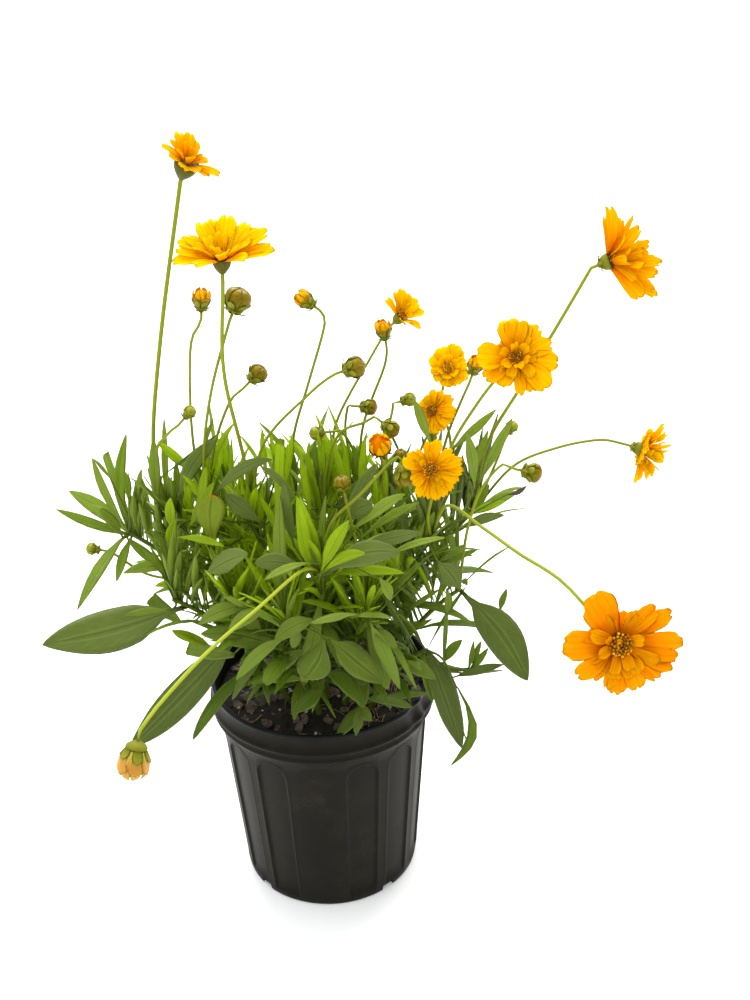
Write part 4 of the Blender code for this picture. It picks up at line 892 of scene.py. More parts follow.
# Leaves that stand out in the clump, in millimetres: root, tip, rise, width, roll, kind
# and how far each sways, where 0 leaves it to chance
seenLeaves = (
    (-130, 0, 286, -142, -10, 316, 2, 7.8, -96, "leaf", 0),
    (-134, 8, 327, -144, 8, 344, 0, 3, -48, "leaf", 0),
    (-123, 0, 312, -123, -6, 341, 0, 6.5, -138, "leaf", 0),
    (-117, 0, 319, -112, 0, 338, 0, 4.3, 54, "leaf", 0),
    (-103, -8, 312, -100, -14, 368, 0, 7.5, 159, "leaf", -0.2),
    (-99, -10, 336, -56, -10, 367, 0, 2.9, 90, "broad", 0),
    (-78, -5, 336, -99, -5, 360, 0, 6.9, -59, "fresh", 0),
    (-88, -20, 324, -59, -26, 369, 4, 12, 108, "broad", 0),
    (-61, -20, 337, -51, -20, 370, 1, 5.4, 56, "fresh", 0),
    (-82, -30, 308, -62, -36, 344, 0, 7.4, 88, "fresh", 0),
    (-64, -50, 304, -62, -58, 346, 0, 20.1, 158, "spotted", 0),
    (-93, -20, 271, -129, -30, 276, 3, 7.6, -57, "leaf", 0),
    (-88, -50, 312, -57, -62, 310, 3, 5.3, 61, "fresh", 0),
    (-73, -60, 288, -42, -75, 311, 5, 14.9, 53, "broad", 0),
    (-95, -30, 235, -112, -35, 259, 0, 10.5, -97, "cut", 0),
    (-96, -55, 260, -127, -60, 262, 1, 4.9, -77, "leaf", 0),
    (-91, -10, 250, -111, -16, 256, 2, 5.8, -28, "fresh", 0),
    (-41, -70, 269, -78, -80, 264, 4, 11.3, -35, "leaf", 0),
    (-32, -84, 274, -58, -92, 265, 3, 10.2, -81, "leaf", 0),
    (-69, -60, 229, -97, -66, 252, 2, 7.4, -42, "fresh", 0),
    (-57, -70, 232, -87, -76, 244, 0, 11.4, -87, "cut", 0),
    (-97, -30, 294, -90, -36, 318, 0, 8.2, 134, "fresh", 0),
    (-28, -20, 335, -44, -20, 368, 4, 3.1, -103, "fresh", 0),
    (-29, 0, 324, -30, 0, 363, 0, 5.2, -123, "fresh", 0),
    (-22, -10, 333, -25, -10, 366, 0, 3.9, -57, "fresh", 0),
    (-24, -30, 313, -18, -30, 369, 0, 7.2, 68, "freshCut", 0),
    (-18, -20, 326, -10, -20, 368, 0, 5.1, 63, "fresh", 0),
    (-63, -50, 340, -23, -56, 367, 6, 8.4, 92, "broad", 0),
    (-8, -60, 337, -30, -66, 368, 3, 5.4, -68, "broad", 0),
    (-13, -60, 305, -17, -66, 357, 0, 7.9, -160, "broad", 0),
    (-3, -72, 293, -9, -84, 355, 0, 11.8, -110, "fresh", 0),
    (-1, -20, 303, -6, -26, 355, 0, 5.4, -132, "fresh", 0),
    (2, 0, 299, -1, 0, 344, 0, 5, -76, "fresh", 0),
    (8, 0, 307, 4, 0, 352, 0, 6, -112, "leaf", 0),
    (12, 10, 301, 10, 10, 349, 0, 7.6, -56, "fresh", 0),
    (27, 0, 305, 16, -4, 353, 0, 6.4, -91, "fresh", 0),
    (28, 20, 310, 22, 20, 344, 0, 6.1, -50, "fresh", 0),
    (34, 10, 299, 30, 10, 343, 0, 6.5, -60, "leaf", 0),
    (34, 0, 305, 38, 0, 350, 0, 5.8, 70, "fresh", 0),
    (43, -20, 300, 50, -20, 337, 0, 6.3, 69, "fresh", 0),
    (49, -10, 294, 63, -10, 342, 0, 6.9, 55, "fresh", 0),
    (19, -40, 311, 42, -46, 355, 3, 9.7, 69, "broad", 0),
    (24, -70, 320, 58, -78, 349, 3, 8.5, 42, "leafBright", 0),
    (30, -70, 315, 66, -78, 342, 2, 6, 55, "leaf", 0),
    (25, -76, 310, 67, -84, 324, 3, 9.1, 70, "broad", 0),
    (43, -80, 306, 82, -88, 322, 2, 5.7, 27, "leafBright", 0),
    (7, -84, 299, 53, -96, 317, 5, 15.6, 73, "broad", 0),
    (5, -90, 304, 31, -98, 320, 3, 7.2, 58, "fresh", 0),
    (3, -86, 301, 22, -94, 342, 0, 9.2, 81, "fresh", 0),
    (-2, -88, 310, -33, -98, 305, 2, 5.6, -31, "leafBright", 0),
    (-9, -84, 303, -38, -92, 314, 4, 11.6, -66, "broad", 0),
    (22, -66, 324, 38, -72, 339, 3, 12.5, 72, "broad", 0),
    (-21, -86, 254, -56, -96, 230, 4, 8.6, -56, "leafBright", 0),
    (-2, -88, 267, -29, -98, 260, 4, 11.6, -39, "leaf", 0),
    (-12, -90, 262, -18, -96, 252, 1, 8.7, -74, "leaf", 0),
    (2, -88, 254, -12, -98, 229, 3, 22.8, -23, "spoon", 0),
    (5, -86, 252, 39, -96, 220, 4, 20.1, 33, "broadLeaf", 0),
    (32, -86, 262, 50, -96, 214, 4, 10.6, 74, "leafBright", 0),
    (45, -60, 223, 76, -76, 206, 3, 12.3, 76, "leaf", 0),
    (1, -82, 224, 25, -94, 203, 3, 16.9, 8, "leaf", 0),
    (1, -78, 208, -20, -90, 197, 2, 11.8, -23, "leaf", 0),
    (-50, -72, 209, -13, -80, 216, 3, 7.6, 45, "leaf", 0),
    (-8, -76, 238, -42, -84, 220, 3, 10.9, -49, "leaf", 0),
    (25, -88, 270, -6, -96, 270, 2, 6.6, -92, "leafBright", 0),
    (20, -86, 266, 47, -94, 268, 2, 5.6, 21, "leafBright", 0),
    (32, -84, 256, 49, -92, 245, 2, 10.2, 26, "leaf", 0),
    (25, -64, 182, 7, -78, 165, 1, 10.2, -5, "leaf", 0),
    (26, -66, 183, 20, -80, 167, 1, 7.6, -43, "leaf", 0),
    (26, -66, 183, 31, -76, 175, 1, 8.9, 44, "leaf", 0),
    (26, -64, 185, 60, -72, 181, 3, 9.2, 88, "leaf", 0),
    (29, -58, 177, 74, -64, 186, 3, 6.8, 89, "leaf", 0),
    (-21, -82, 256, -60, -86, 288, 2, 5.4, -77, "leafBright", 0),
    (-19, -72, 231, -77, -80, 257, 4, 15.6, -67, "broadLeaf", 0),
    (51, -40, 216, 77, -46, 235, 1, 4.2, 67, "leaf", 0),
    (46, -40, 216, 68, -46, 234, 1, 5.3, 91, "leaf", 0),
    (39, -88, 296, 46, -94, 282, 0, 8.2, 10, "leafBright", 0),
    (76, -60, 373, 65, -66, 408, 0, 6.7, -96, "leaf", 0),
    (92, -10, 342, 124, -14, 374, 0, 6.6, 93, "leaf", 0),
    (113, -6, 314, 135, -10, 365, 0, 7.8, 107, "leaf", 0),
    (104, -20, 324, 117, -24, 364, 0, 6.6, 55, "leaf", 0),
    (106, -40, 329, 100, -46, 373, 0, 8.8, -106, "leaf", 0),
    (108, -20, 301, 118, -24, 324, 0, 7.2, 59, "leaf", 0),
    (110, -30, 310, 136, -34, 322, 2, 7, 53, "leaf", 0),
    (100, -34, 306, 127, -40, 319, 2, 5.5, 73, "fresh", 0),
    (96, -40, 299, 125, -46, 312, 2, 7.2, 84, "broad", 0),
    (85, -40, 274, 108, -44, 286, 1, 4.2, 53, "leaf", 0),
    (81, -46, 279, 99, -50, 294, 1, 6.4, 102, "leaf", 0),
    (125, -30, 226, 129, -34, 248, 0, 5, 128, "leaf", 0),
    (83, -50, 200, 96, -54, 222, 0, 7.3, 66, "leaf", 0),
    (86, -50, 261, 86, -52, 242, 0, 6.4, -19, "leaf", 0),
    (100, -50, 192, 104, -54, 221, 0, 3.9, 100, "leaf", 0),
    (103, -50, 194, 109, -54, 220, 0, 5, 73, "leaf", 0),
    (99, -50, 190, 114, -54, 214, 0, 5.5, 48, "leaf", 0),
    (89, -50, 188, 124, -58, 202, 2, 6.5, 69, "broad", 0),
    (79, -60, 288, 92, -66, 271, 1, 16, 78, "broad", 0),
    (-99, -6, 261, -128, -2, 288, 0, 7.1, -57, "leaf", 0),
    (-63, -20, 344, -46, -20, 378, 0, 4, 77, "fresh", -1.6),
    (-70, -4, 350, -61, -4, 374, 0, 2.9, 65, "leaf", 0),
    (-33, -40, 313, -56, -44, 339, 3, 11.4, -71, "broad", 0),
    (-48, -10, 322, -47, -10, 345, 0, 3.8, 120, "fresh", 0),
    (-69, -60, 229, -96, -66, 251, 0, 6.1, -67, "spotted", 0),
    (126, -46, 327, 139, -48, 334, 0, 3.3, 63, "withered", 1),
    (86, -50, 260, 83, -52, 202, 0, 3.6, -64, "leaf", -0.3),
    (91, -66, 192, 84, -80, 135, 0, 7.2, -2, "leaf", -3.9),
    (58, -46, 242, 82, -50, 261, 0, 3.6, 51, "leaf", -0.2),
    (67, -46, 245, 83, -50, 247, 0, 2.1, 60, "leaf", 0),
    (-19, -40, 296, -33, -46, 336, 2, 5.2, -74, "fresh", 0),
    (18, 6, 299, 14, 6, 337, 0, 5.6, -118, "fresh", 0),
    (8, 14, 315, 7, 14, 347, 0, 4.4, -72, "leaf", 0),
    (-17, -6, 311, -14, -6, 345, 0, 5, 124, "leaf", 0),
    (27, 4, 303, 24, 4, 344, 0, 5, -80, "fresh", 0),
    (-81, -20, 314, -82, -22, 341, 0, 5.1, -133, "fresh", 0),
    (-94, -24, 304, -92, -28, 330, 0, 7.8, 135, "fresh", 0),
    (-111, -4, 313, -111, -4, 339, 0, 4.1, 90, "leaf", 0),
    (-76, -30, 319, -67, -30, 352, 0, 6.7, 58, "fresh", 0),
    (-89, -8, 320, -88, -8, 346, 0, 5.3, 121, "leaf", 0),
    (-110, -10, 297, -99, -16, 286, 0, 6.5, 29, "leaf", 0),
    (-38, -70, 243, -47, -76, 270, 2, 9.4, -109, "leaf", 0),
)
# The finish of each kind, and how far its halves are folded up
leafKinds = {
    "leaf": ("leaf", 0.22), "leafBright": ("leafBright", 0.25), "fresh": ("fresh", 0.40),
    "broad": ("broad", 0.15), "broadLeaf": ("leaf", 0.10), "spoon": ("leaf", 0.08),
    "spotted": ("spotted", 0.20), "cut": ("leaf", 0.18), "freshCut": ("fresh", 0.18),
    "withered": ("withered", 0.60),
}
# How the picture shows some of the listed leaves, by their row: rise, share of the width, sway,
# and for some the roll
loneLooks = {
    0: (0.004, 1.0, 0.0), 1: (-0.009, 0.88, 0.0), 3: (0.006, 0.75, 0.0),
    4: (0.0, 0.95, 0.4, -30), 5: (0.0, 0.8, -0.3, -75), 6: (0.0, 1.05, 0.4, -73),
    7: (0.0, 0.85, -0.8, -78), 8: (0.0, 0.85, -1.5, 32), 9: (0.0, 1.1, 0.0, -61),
    10: (0.001, 0.6, 0.0), 11: (-0.002, 1.0, 0.0), 12: (0.006, 0.5, 0.0),
    13: (0.007, 1.0, 0.2), 14: (0.016, 0.5, 0.0), 15: (-0.006, 0.6, 1.0),
    17: (0.006, 0.6, 0.0), 18: (0.006, 0.6, 0.0), 19: (0.006, 0.6, 0.0),
    24: (0.004, 0.6, 0.0), 25: (0.004, 0.6, 0.0),
}
# The body of the clump as the camera sees it, which the small leaves keep within
clumpOutline = (
    (128, 505), (133, 480), (143, 462), (163, 470), (180, 465), (200, 440), (215, 425),
    (232, 430), (240, 445), (258, 440), (262, 432), (285, 432), (300, 445), (318, 436),
    (338, 436), (352, 444), (366, 440), (378, 458), (405, 458), (420, 470), (440, 455),
    (452, 440), (466, 430), (478, 440), (492, 425), (497, 440), (486, 470), (476, 490),
    (492, 500), (486, 515), (468, 530), (466, 548), (448, 562), (436, 575), (424, 592),
    (412, 606), (402, 622), (404, 640), (425, 655), (436, 680), (434, 700), (400, 716),
    (340, 722), (280, 716), (236, 700), (222, 680), (214, 660), (196, 652), (185, 640),
    (176, 622), (160, 600), (152, 585), (150, 572), (166, 566), (150, 556), (128, 545),
    (120, 530),
)

# The leaves' own rules, as the solids have them
leafShape = {
    "cutLeaf": 9,
    "seed": 11,
    "tries": 18,
    "narrow": 0.0104,
    "broad": 0.0165,
    "lowestPair": 0.30,
    "pairTurn": math.radians(83),
    "low": {"length": 0.066, "width": 0.0150, "climb": 12, "rise": 0.010},
    "top": {"length": 0.058, "width": 0.0078, "climb": 68, "rise": 0.003},
    "spreadDrop": 26,
    "inwardClimb": 12,
    "steepest": math.radians(84),
    "lowestClimb": math.radians(-8),
}
# More leaves of the same plant, finer than the solids carry
moreLeaves = {
    "perStem": 31,
    "leftPerStem": 52,
    "leftOf": -0.03,
    "from": 0.22,
    "length": (0.036, 0.068),
    "width": (0.0032, 0.0060),
    "climb": (14, 80),
    "spreadDrop": 22,
    "inwardClimb": 12,
    "steepest": 86,
    "lowestClimb": -6,
    # the leaves at a stem's top, the share of the stem that is bare below them, their size
    "tuft": 18,
    "tuftFrom": 0.93,
    "tuftLength": 0.72,
    "tries": 6,
}


# A point at a share of the stem, from the potting mix to its top
def stemPoint(stem, share):
    (x, y), top, *_ = stems[stem]
    foot = Vector((x, y, mixShape["top"]))
    top = Vector(top)
    bend = foot.lerp(top, 1 - stemShape["rise"])
    bend.z = foot.z + (top.z - foot.z) * stemShape["rise"]
    return foot * (1 - share) ** 2 + bend * 2 * share * (1 - share) + top * share ** 2


# The same on the straight runs that the stem's solid is made of
def tubePoint(stem, share):
    steps = stemShape["steps"]
    step = min(int(share * steps), steps - 1)
    start, end = stemPoint(stem, step / steps), stemPoint(stem, (step + 1) / steps)
    return start.lerp(end, share * steps - step)


# The way that climbs at one angle and heads at another
def aimed(climb, way):
    level = math.cos(climb)
    return Vector((level * math.cos(way), level * math.sin(way), math.sin(climb)))


# The tries that the solids make for a listed leaf, and for one of a pair
def loneAims(index, tip, rise, roll):
    chance = random.Random(leafShape["seed"] * 1000 + index)
    yield Vector(tip), rise, roll
    for attempt in range(1, leafShape["tries"]):
        reach = 0.0016 * attempt
        shift = Vector(chance.uniform(-reach, reach) for _ in range(3))
        yield Vector(tip) + shift, rise, roll + chance.uniform(-12, 12)


# A leaf's measure at a share of its stem, between that of a low leaf and a top one
def pairMeasure(name, share):
    height = (share - leafShape["lowestPair"]) / (1 - leafShape["lowestPair"])
    return leafShape["low"][name] * (1 - height) + leafShape["top"][name] * height


def pairAims(stem, share, index, spread):
    chance = random.Random("%s %d %d" % (stem, leafShape["seed"], index))
    root = tubePoint(stem, share)
    outward = math.atan2(root.y, root.x)
    turn = index // 2 * leafShape["pairTurn"] + index % 2 * math.pi + outward
    length, climb, rise = (pairMeasure(name, share) for name in ("length", "climb", "rise"))
    for attempt in range(leafShape["tries"]):
        looseness = 0.25 + 0.12 * attempt
        way = turn + chance.uniform(-0.5, 0.5) * looseness * 1.6
        inward = 1 - math.cos(way - outward)
        tilt = climb - leafShape["spreadDrop"] * spread + leafShape["inwardClimb"] * inward
        angle = math.radians(tilt + chance.uniform(-16, 16))
        angle = max(min(angle, leafShape["steepest"]), leafShape["lowestClimb"])
        reach = length * chance.uniform(0.82, 1.18) * (1 - 0.02 * attempt)
        yield root + aimed(angle, way) * reach, rise, chance.uniform(-25, 25)


# The tips that a node's solid has, to find which try each of its leaves settled on
def nodeTips(node):
    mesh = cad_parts[node].data
    tips = KDTree(len(mesh.vertices))
    for corner in mesh.vertices:
        tips.insert(corner.co, corner.index)
    tips.balance()
    return tips


# The first try whose tip the solid has, or None
def settledTry(tips, aims):
    for tip, rise, roll in aims:
        if tips.find(tip)[2] < 0.00005:
            return tip, rise, roll
    return None


# The half widths of the leaves from root to tip, as shares of the widest
def leafOutline(share):
    bulge = math.sin(math.pi * share ** 1.18) ** 0.82 if share < 1 else 0.0
    return max(bulge * min(1.0, 0.35 + share * 2.2), 0.18 * (1 - share))


def broadOutline(share):
    bulge = math.sin(math.pi * share ** 1.12) ** 0.78 if share < 1 else 0.0
    stalk = 0.13 * (1 - share)
    return max(bulge * min(1.0, (share / 0.30) ** 1.5), stalk)


def spoonOutline(share):
    bulge = math.sin(math.pi * share ** 2.1) ** 0.62 if share < 1 else 0.0
    return max(bulge, 0.20 * (1 - share))


# A leaf whose end was cut off
def cutOutline(share):
    return 0.25 + 0.75 * min(1.0, share / 0.45) ** 0.8 - 0.12 * share


# Green painted lighter higher up as painted light, a midrib crease painted as shade, faint side
# veins, a pale rim partly painted highlight, and a tip that may be dry
def makeLeafFinish(name, dull, bright, rim, glow, share, dry="5d4322"):
    leaf = Finish(name, IOR=1.42, Specular_IOR_Level=0.30)
    *_, v, side = leaf.spread()
    tone = leaf.tone()
    # Painted light: the green grows brighter with height, for the light from above and behind on
    # the upper leaves
    height = leaf.axis("Z", leaf.place()).between(0.18, 0.32)
    cloud, mottle = leaf.grain(75), leaf.grain(650, 3)
    lift = (height * 0.68 + tone * 0.42 + (cloud - 0.5) * 0.60 - 0.06).clamped()
    green = leaf.blend(lift, dull, bright)
    # Painted shade: a thin dark line along the midrib's crease, whose mask also dips the bump
    creaseShadeAndDip = 1 - side.between(0.015, 0.08)
    bank = (1 - abs(side - 0.17).between(0.01, 0.08)) * (1 - v.between(0.75, 0.95))
    branch = abs((v * 9 - side * 2.6) % 1.0 - 0.5)
    feather = (1 - branch.between(0.02, 0.13)) * side.between(0.12, 0.3)
    # A pale rim for the fine hairs on the edge, partly their own paleness and partly painted
    # highlight of the light behind them
    edge = side.between(0.78, 0.96)
    pale = bank * 0.13 + feather * 0.05 + edge * 0.28 + mottle.between(0.5, 0.9) * 0.18
    veined = leaf.blend(pale.clamped(), green, rim)
    creaseShaded = leaf.blend(creaseShadeAndDip * 0.45, veined, dull)
    freckle = leaf.blend(mottle.between(0.45, 0.8) * 0.22, creaseShaded, dull, "MULTIPLY")
    brown = (tone > 0.94) * (v + mottle * 0.06).between(0.93, 0.97)
    leaf.paint(leaf.blend(brown, freckle, dry), 0.42 + cloud * 0.16)
    relief = mottle * 0.45 - creaseShadeAndDip * 0.9 - feather * 0.35
    leaf.shineThrough(glow, share, leaf.bump(relief, 0.00035, 0.8))
    return leaf


leafBlank = bladeBlank(4, 7, leafOutline, crowd=1.5)
broadBlank = bladeBlank(6, 14, broadOutline, crowd=1.3)
spoonBlank = bladeBlank(6, 12, spoonOutline, crowd=1.3)
longBlank = bladeBlank(6, 12, leafOutline, crowd=1.4)
cutBlank = bladeBlank(6, 8, cutOutline, ((1.0, -1.0, -0.04), (1.0, 0.0, 0.02), (1.0, 1.0, 0.03)))
kindBlanks = {"broad": longBlank, "broadLeaf": broadBlank, "spoon": spoonBlank,
              "spotted": spoonBlank, "cut": cutBlank, "freshCut": cutBlank}
stemBlank = tubeBlank(10, 22)
stalkBlank = tubeBlank(8, 26)


# The blank that suits a leaf's width, and whether it is a low one
def blankFor(width, low):
    if width > leafShape["broad"]:
        return broadBlank
    if low and width > leafShape["narrow"]:
        return spoonBlank
    return leafBlank


def addStem(bunch, stem, finish):
    foot = stemPoint(stem, 0.0)
    path = [foot - Vector((0, 0, stemShape["depth"])), foot]
    path += [stemPoint(stem, step / 14) for step in range(1, 15)]
    radii = (stemShape["radius"] * 1.1, stemShape["radius"] * (1.1 - stemShape["taper"]))
    bunch.add(stemBlank, bendTube(stemBlank, path, radii), finish, 0.5)


# Where the leaves change their kind: the height of the low and the high ones, how far out
# the high ones are darker, and from where they are dark at the top right
leafZones = {
    "low": 0.235,
    "high": 0.262,
    "middle": -0.006,
    "inner": 0.074,
    "loose": 0.016,
    "rightTop": (0.045, 0.325),
    "outerKinds": ("leaf", "leafBright", "leaf"),
    "innerKinds": ("leaf", "fresh", "fresh", "fresh"),
    "brightShare": 0.18,
}


def addLeaf(bunch, finishes, chance, stem, share, tip, rise, width, roll, sway=0.0,
            blank=None):
    root = stemPoint(stem, share)
    blank = blank or blankFor(width, tip[2] < leafZones["low"])
    if blank is broadBlank:
        look = {"fold": 0.26, "wave": 0.045, "thick": 0.0006}
        kind = "broad"
    elif tip[2] > leafZones["high"]:
        look = {"fold": chance.uniform(0.15, 0.60), "wave": 0.03, "thick": 0.0005}
        loose = chance.uniform(-leafZones["loose"], leafZones["loose"])
        isOuter = abs(tip[0] - leafZones["middle"]) > leafZones["inner"] + loose
        right, top = leafZones["rightTop"]
        isRightTop = tip[0] > right and tip[2] > top
        kinds = leafZones["outerKinds" if isOuter else "innerKinds"]
        kind = "broad" if isRightTop else chance.choice(kinds)
    else:
        look = {"fold": chance.uniform(0.08, 0.25), "wave": 0.05, "thick": 0.0005}
        kind = "leafBright" if chance.random() < leafZones["brightShare"] else "leaf"
    look["twist"] = chance.uniform(-0.6, 0.6) * (0.15 if width > leafShape["narrow"] else 1.0)
    look["phase"] = chance.uniform(0, 6)
    look["sway"] = sway or chance.uniform(-0.5, 0.5)
    points = bendLeaf(blank, root, tip, rise, width, roll, **look)
    bunch.add(blank, points, finishes[kind], chance.random())


# The leaves that the stem's solid has, each where its solid stands
def addSolidLeaves(bunch, stem, finishes):
    tips = nodeTips(stem)
    chance = random.Random("looks of " + stem)
    found = 0
    for index, (owner, share, tip, rise, width, roll) in enumerate(loneLeaves):
        if owner == stem:
            settled = settledTry(tips, loneAims(index, tip, rise, roll))
            if settled:
                look = loneLooks.get(index, (rise, 1.0, 0.0))
                rise, part, sway, roll = look if len(look) > 3 else (*look, settled[2])
                blank = cutBlank if index == leafShape["cutLeaf"] else None
                addLeaf(bunch, finishes, chance, stem, share, settled[0], rise, width * part,
                        roll, sway, blank)
                found += 1
    _, _, pairs, spread = stems[stem]
    lowest = leafShape["lowestPair"]
    for index in range(pairs * 2):
        share = lowest + (1 - lowest) * (index // 2 + 1) / pairs - 0.02 * (index % 2)
        settled = settledTry(tips, pairAims(stem, share, index, spread))
        if settled:
            tip, rise, roll = settled
            slimmer = 1.05 - 0.33 * (share - lowest) / (1 - lowest)
            width = pairMeasure("width", share) * slimmer
            width *= 1.0 if isSeenInside(tip, clumpOutline) else 0.6
            addLeaf(bunch, finishes, chance, stem, share, tip, rise, width, roll)
            found += 1
    return found


# The stem that passes nearest to a point: the distance, its name and the share up it
def nearestStem(point):
    shares = [step / 10 for step in range(3, 11)]
    return min(((stemPoint(stem, share) - point).length, stem, share)
               for stem in stems for share in shares)


# The leaves that stand out, each on a short stalk where its stem isn't right beside it
def addSeenLeaves(shoots, finishes):
    chance = random.Random("seen leaves")
    for *ends, rise, width, roll, kind, sway in seenLeaves:
        root, tip = Vector(ends[:3]) / 1000, Vector(ends[3:]) / 1000
        rise, width = rise / 1000, width / 1000
        away, stem, share = nearestStem(root)
        isWide = width > leafShape["narrow"] * 0.7
        blank = kindBlanks.get(kind, longBlank if isWide else leafBlank)
        name, fold = leafKinds[kind]
        points = bendLeaf(blank, root, tip, rise, width, roll, fold, 0.05,
                          twist=chance.uniform(-0.3, 0.3), phase=chance.uniform(0, 6),
                          sway=sway or chance.uniform(-0.4, 0.4))
        tone = 0.97 if kind in ("freshCut", "spotted") else chance.uniform(0, 0.93)
        shoots[stem].add(blank, points, finishes[name], tone)
        if away > 0.003:
            start = stemPoint(stem, share)
            way = (root - tip).normalized()
            middle = (start + root) / 2 + way * away * 0.2
            path = smoothPath([start, middle, root - way * 0.0012], 5)
            bent = bendTube(stalkBlank, path, (0.0009, 0.0006))
            shoots[stem].add(stalkBlank, bent, finishes["stem"], chance.random())


# A small leaf's root, tip, share up its stem, rise and width, new ones at each try
def smallLeaf(stem, index, count, chance):
    *_, spread = stems[stem]
    inTuft = index >= count
    step = (index + chance.random()) / count
    bare, top = moreLeaves["from"], moreLeaves["tuftFrom"]
    share = top + (1 - top) * chance.random() if inTuft else bare + (1 - bare) * step
    root = stemPoint(stem, share)
    outward = math.atan2(root.y, root.x)
    way = chance.uniform(0, math.tau)
    low, high = moreLeaves["climb"]
    height = (share - bare) / (1 - bare)
    climb = low * (1 - height) + high * height - moreLeaves["spreadDrop"] * spread
    climb += moreLeaves["inwardClimb"] * (1 - math.cos(way - outward)) + chance.uniform(-12, 12)
    climb = max(min(climb, moreLeaves["steepest"]), moreLeaves["lowestClimb"])
    length = chance.uniform(*moreLeaves["length"])
    length *= moreLeaves["tuftLength"] if inTuft else 1.0
    rise = (0.008 * (1 - height) + 0.002) * chance.uniform(0.4, 1.2)
    width = chance.uniform(*moreLeaves["width"]) * (1.35 - 0.40 * height)
    return root, root + aimed(math.radians(climb), way) * length, share, rise, width


def addMoreLeaves(bunch, stem, finishes):
    chance = random.Random("more of " + stem)
    isLeft = stems[stem][1][0] < moreLeaves["leftOf"]
    count = moreLeaves["leftPerStem" if isLeft else "perStem"]
    for index in range(count + moreLeaves["tuft"]):
        for _ in range(moreLeaves["tries"]):
            root, tip, share, rise, width = smallLeaf(stem, index, count, chance)
            if all(isSeenInside(spot, clumpOutline) for spot in (tip, (root + tip) / 2)):
                roll = chance.uniform(-30, 30)
                addLeaf(bunch, finishes, chance, stem, share, tip, rise, width, roll)
                break


# Flower heads: cups with their bracts, petals in layers and a disc of florets
headShape = {
    "cupRadius": 0.0030,
    "cupShare": 0.07,
    "cupHeight": 0.0048,
    "funnelHeight": 0.0078,
    "layerHeight": 0.0014,
    "layerStep": 0.0011,
    "discShare": 0.75,
    "bracts": 8,
    "florets": 44,
    "floretTurn": 2.39996,
    "floretSize": 0.15,
    # how far out each layer of petals begins, as shares of the cup's radius
    "layerStarts": (0.684, 0.612),
    "layerRuffles": (0.05, 0.09),
    "petalCup": 0.12,
    "petalThick": 0.00045,
    # the fill's low tone paints the short petals deeper, as painted shade behind the others
    "fill": {"count": 11, "length": (0.54, 0.64), "width": 0.42, "lift": (3, 14),
             "below": 0.0005, "tone": 0.3, "start": 0.68, "cup": 0.10, "ruffle": 0.06},
    "closedBloom": "bloom_01",
    "closedCup": {"below": 0.0115, "radius": 0.0076, "height": 0.0118},
    # the blooms whose disc lies in the lowest layer of petals
    "flatDiscs": ("bloom_03", "bloom_07"),
    "clockTop": (0.0, 0.47, 0.88),
}
# The stem of each bloom, the way of its stalk, its middle, axis and radius, in millimetres
blooms = {
    "bloom_01": ("stem_left_tall", ((-103, 2, 350), (-89, -10, 433)), (-61, -20, 546),
                 (0.42, -0.3, 0.86), 19),
    "bloom_02": ("stem_left_inner", ((-42, -24, 349), (-48.5, -54, 426)), (-42, -90, 509),
                 (0.02, 0.16, 0.98), 29),
    "bloom_03": ("stem_mid_back", ((19, 54, 335), (47.5, 60, 386)), (68, 60, 413),
                 (0.62, -0.35, 0.7), 15),
    "bloom_04": ("stem_right_mid", ((86, 12, 345),), (95, 14, 392), (0.05, -0.8, 0.6), 14.5),
    "bloom_05": ("stem_right_front", ((87, -44, 354), (104, -66, 402)), (123, -90, 441),
                 (0.02, -0.86, 0.5), 24),
    "bloom_06": ("stem_far_right", ((119, 0, 340), (140, -12, 388), (158, -22, 428)),
                 (190, -30, 476), (0.9, -0.22, 0.38), 29),
    "bloom_07": ("stem_right_mid", ((94, 2, 330), (94, 0, 352)), (81.5, -12, 374.5),
                 (-0.5, -0.72, 0.48), 18),
    "bloom_08": ("stem_right_front", ((73, -62, 322), (74, -84, 352)), (71, -104, 378),
                 (-0.04, -0.9, 0.42), 19),
    "bloom_09": ("stem_far_right", ((138, 5, 321), (167, 5, 333), (196, 2, 339)), (225, 0, 331),
                 (0.9, -0.12, -0.32), 20.5),
    "bloom_10": ("stem_right_front",
                 ((84, -72, 336), (98, -130, 352), (112, -180, 362), (128, -226, 370)),
                 (147, -272, 362), (0.12, -0.92, 0.3), 31),
}


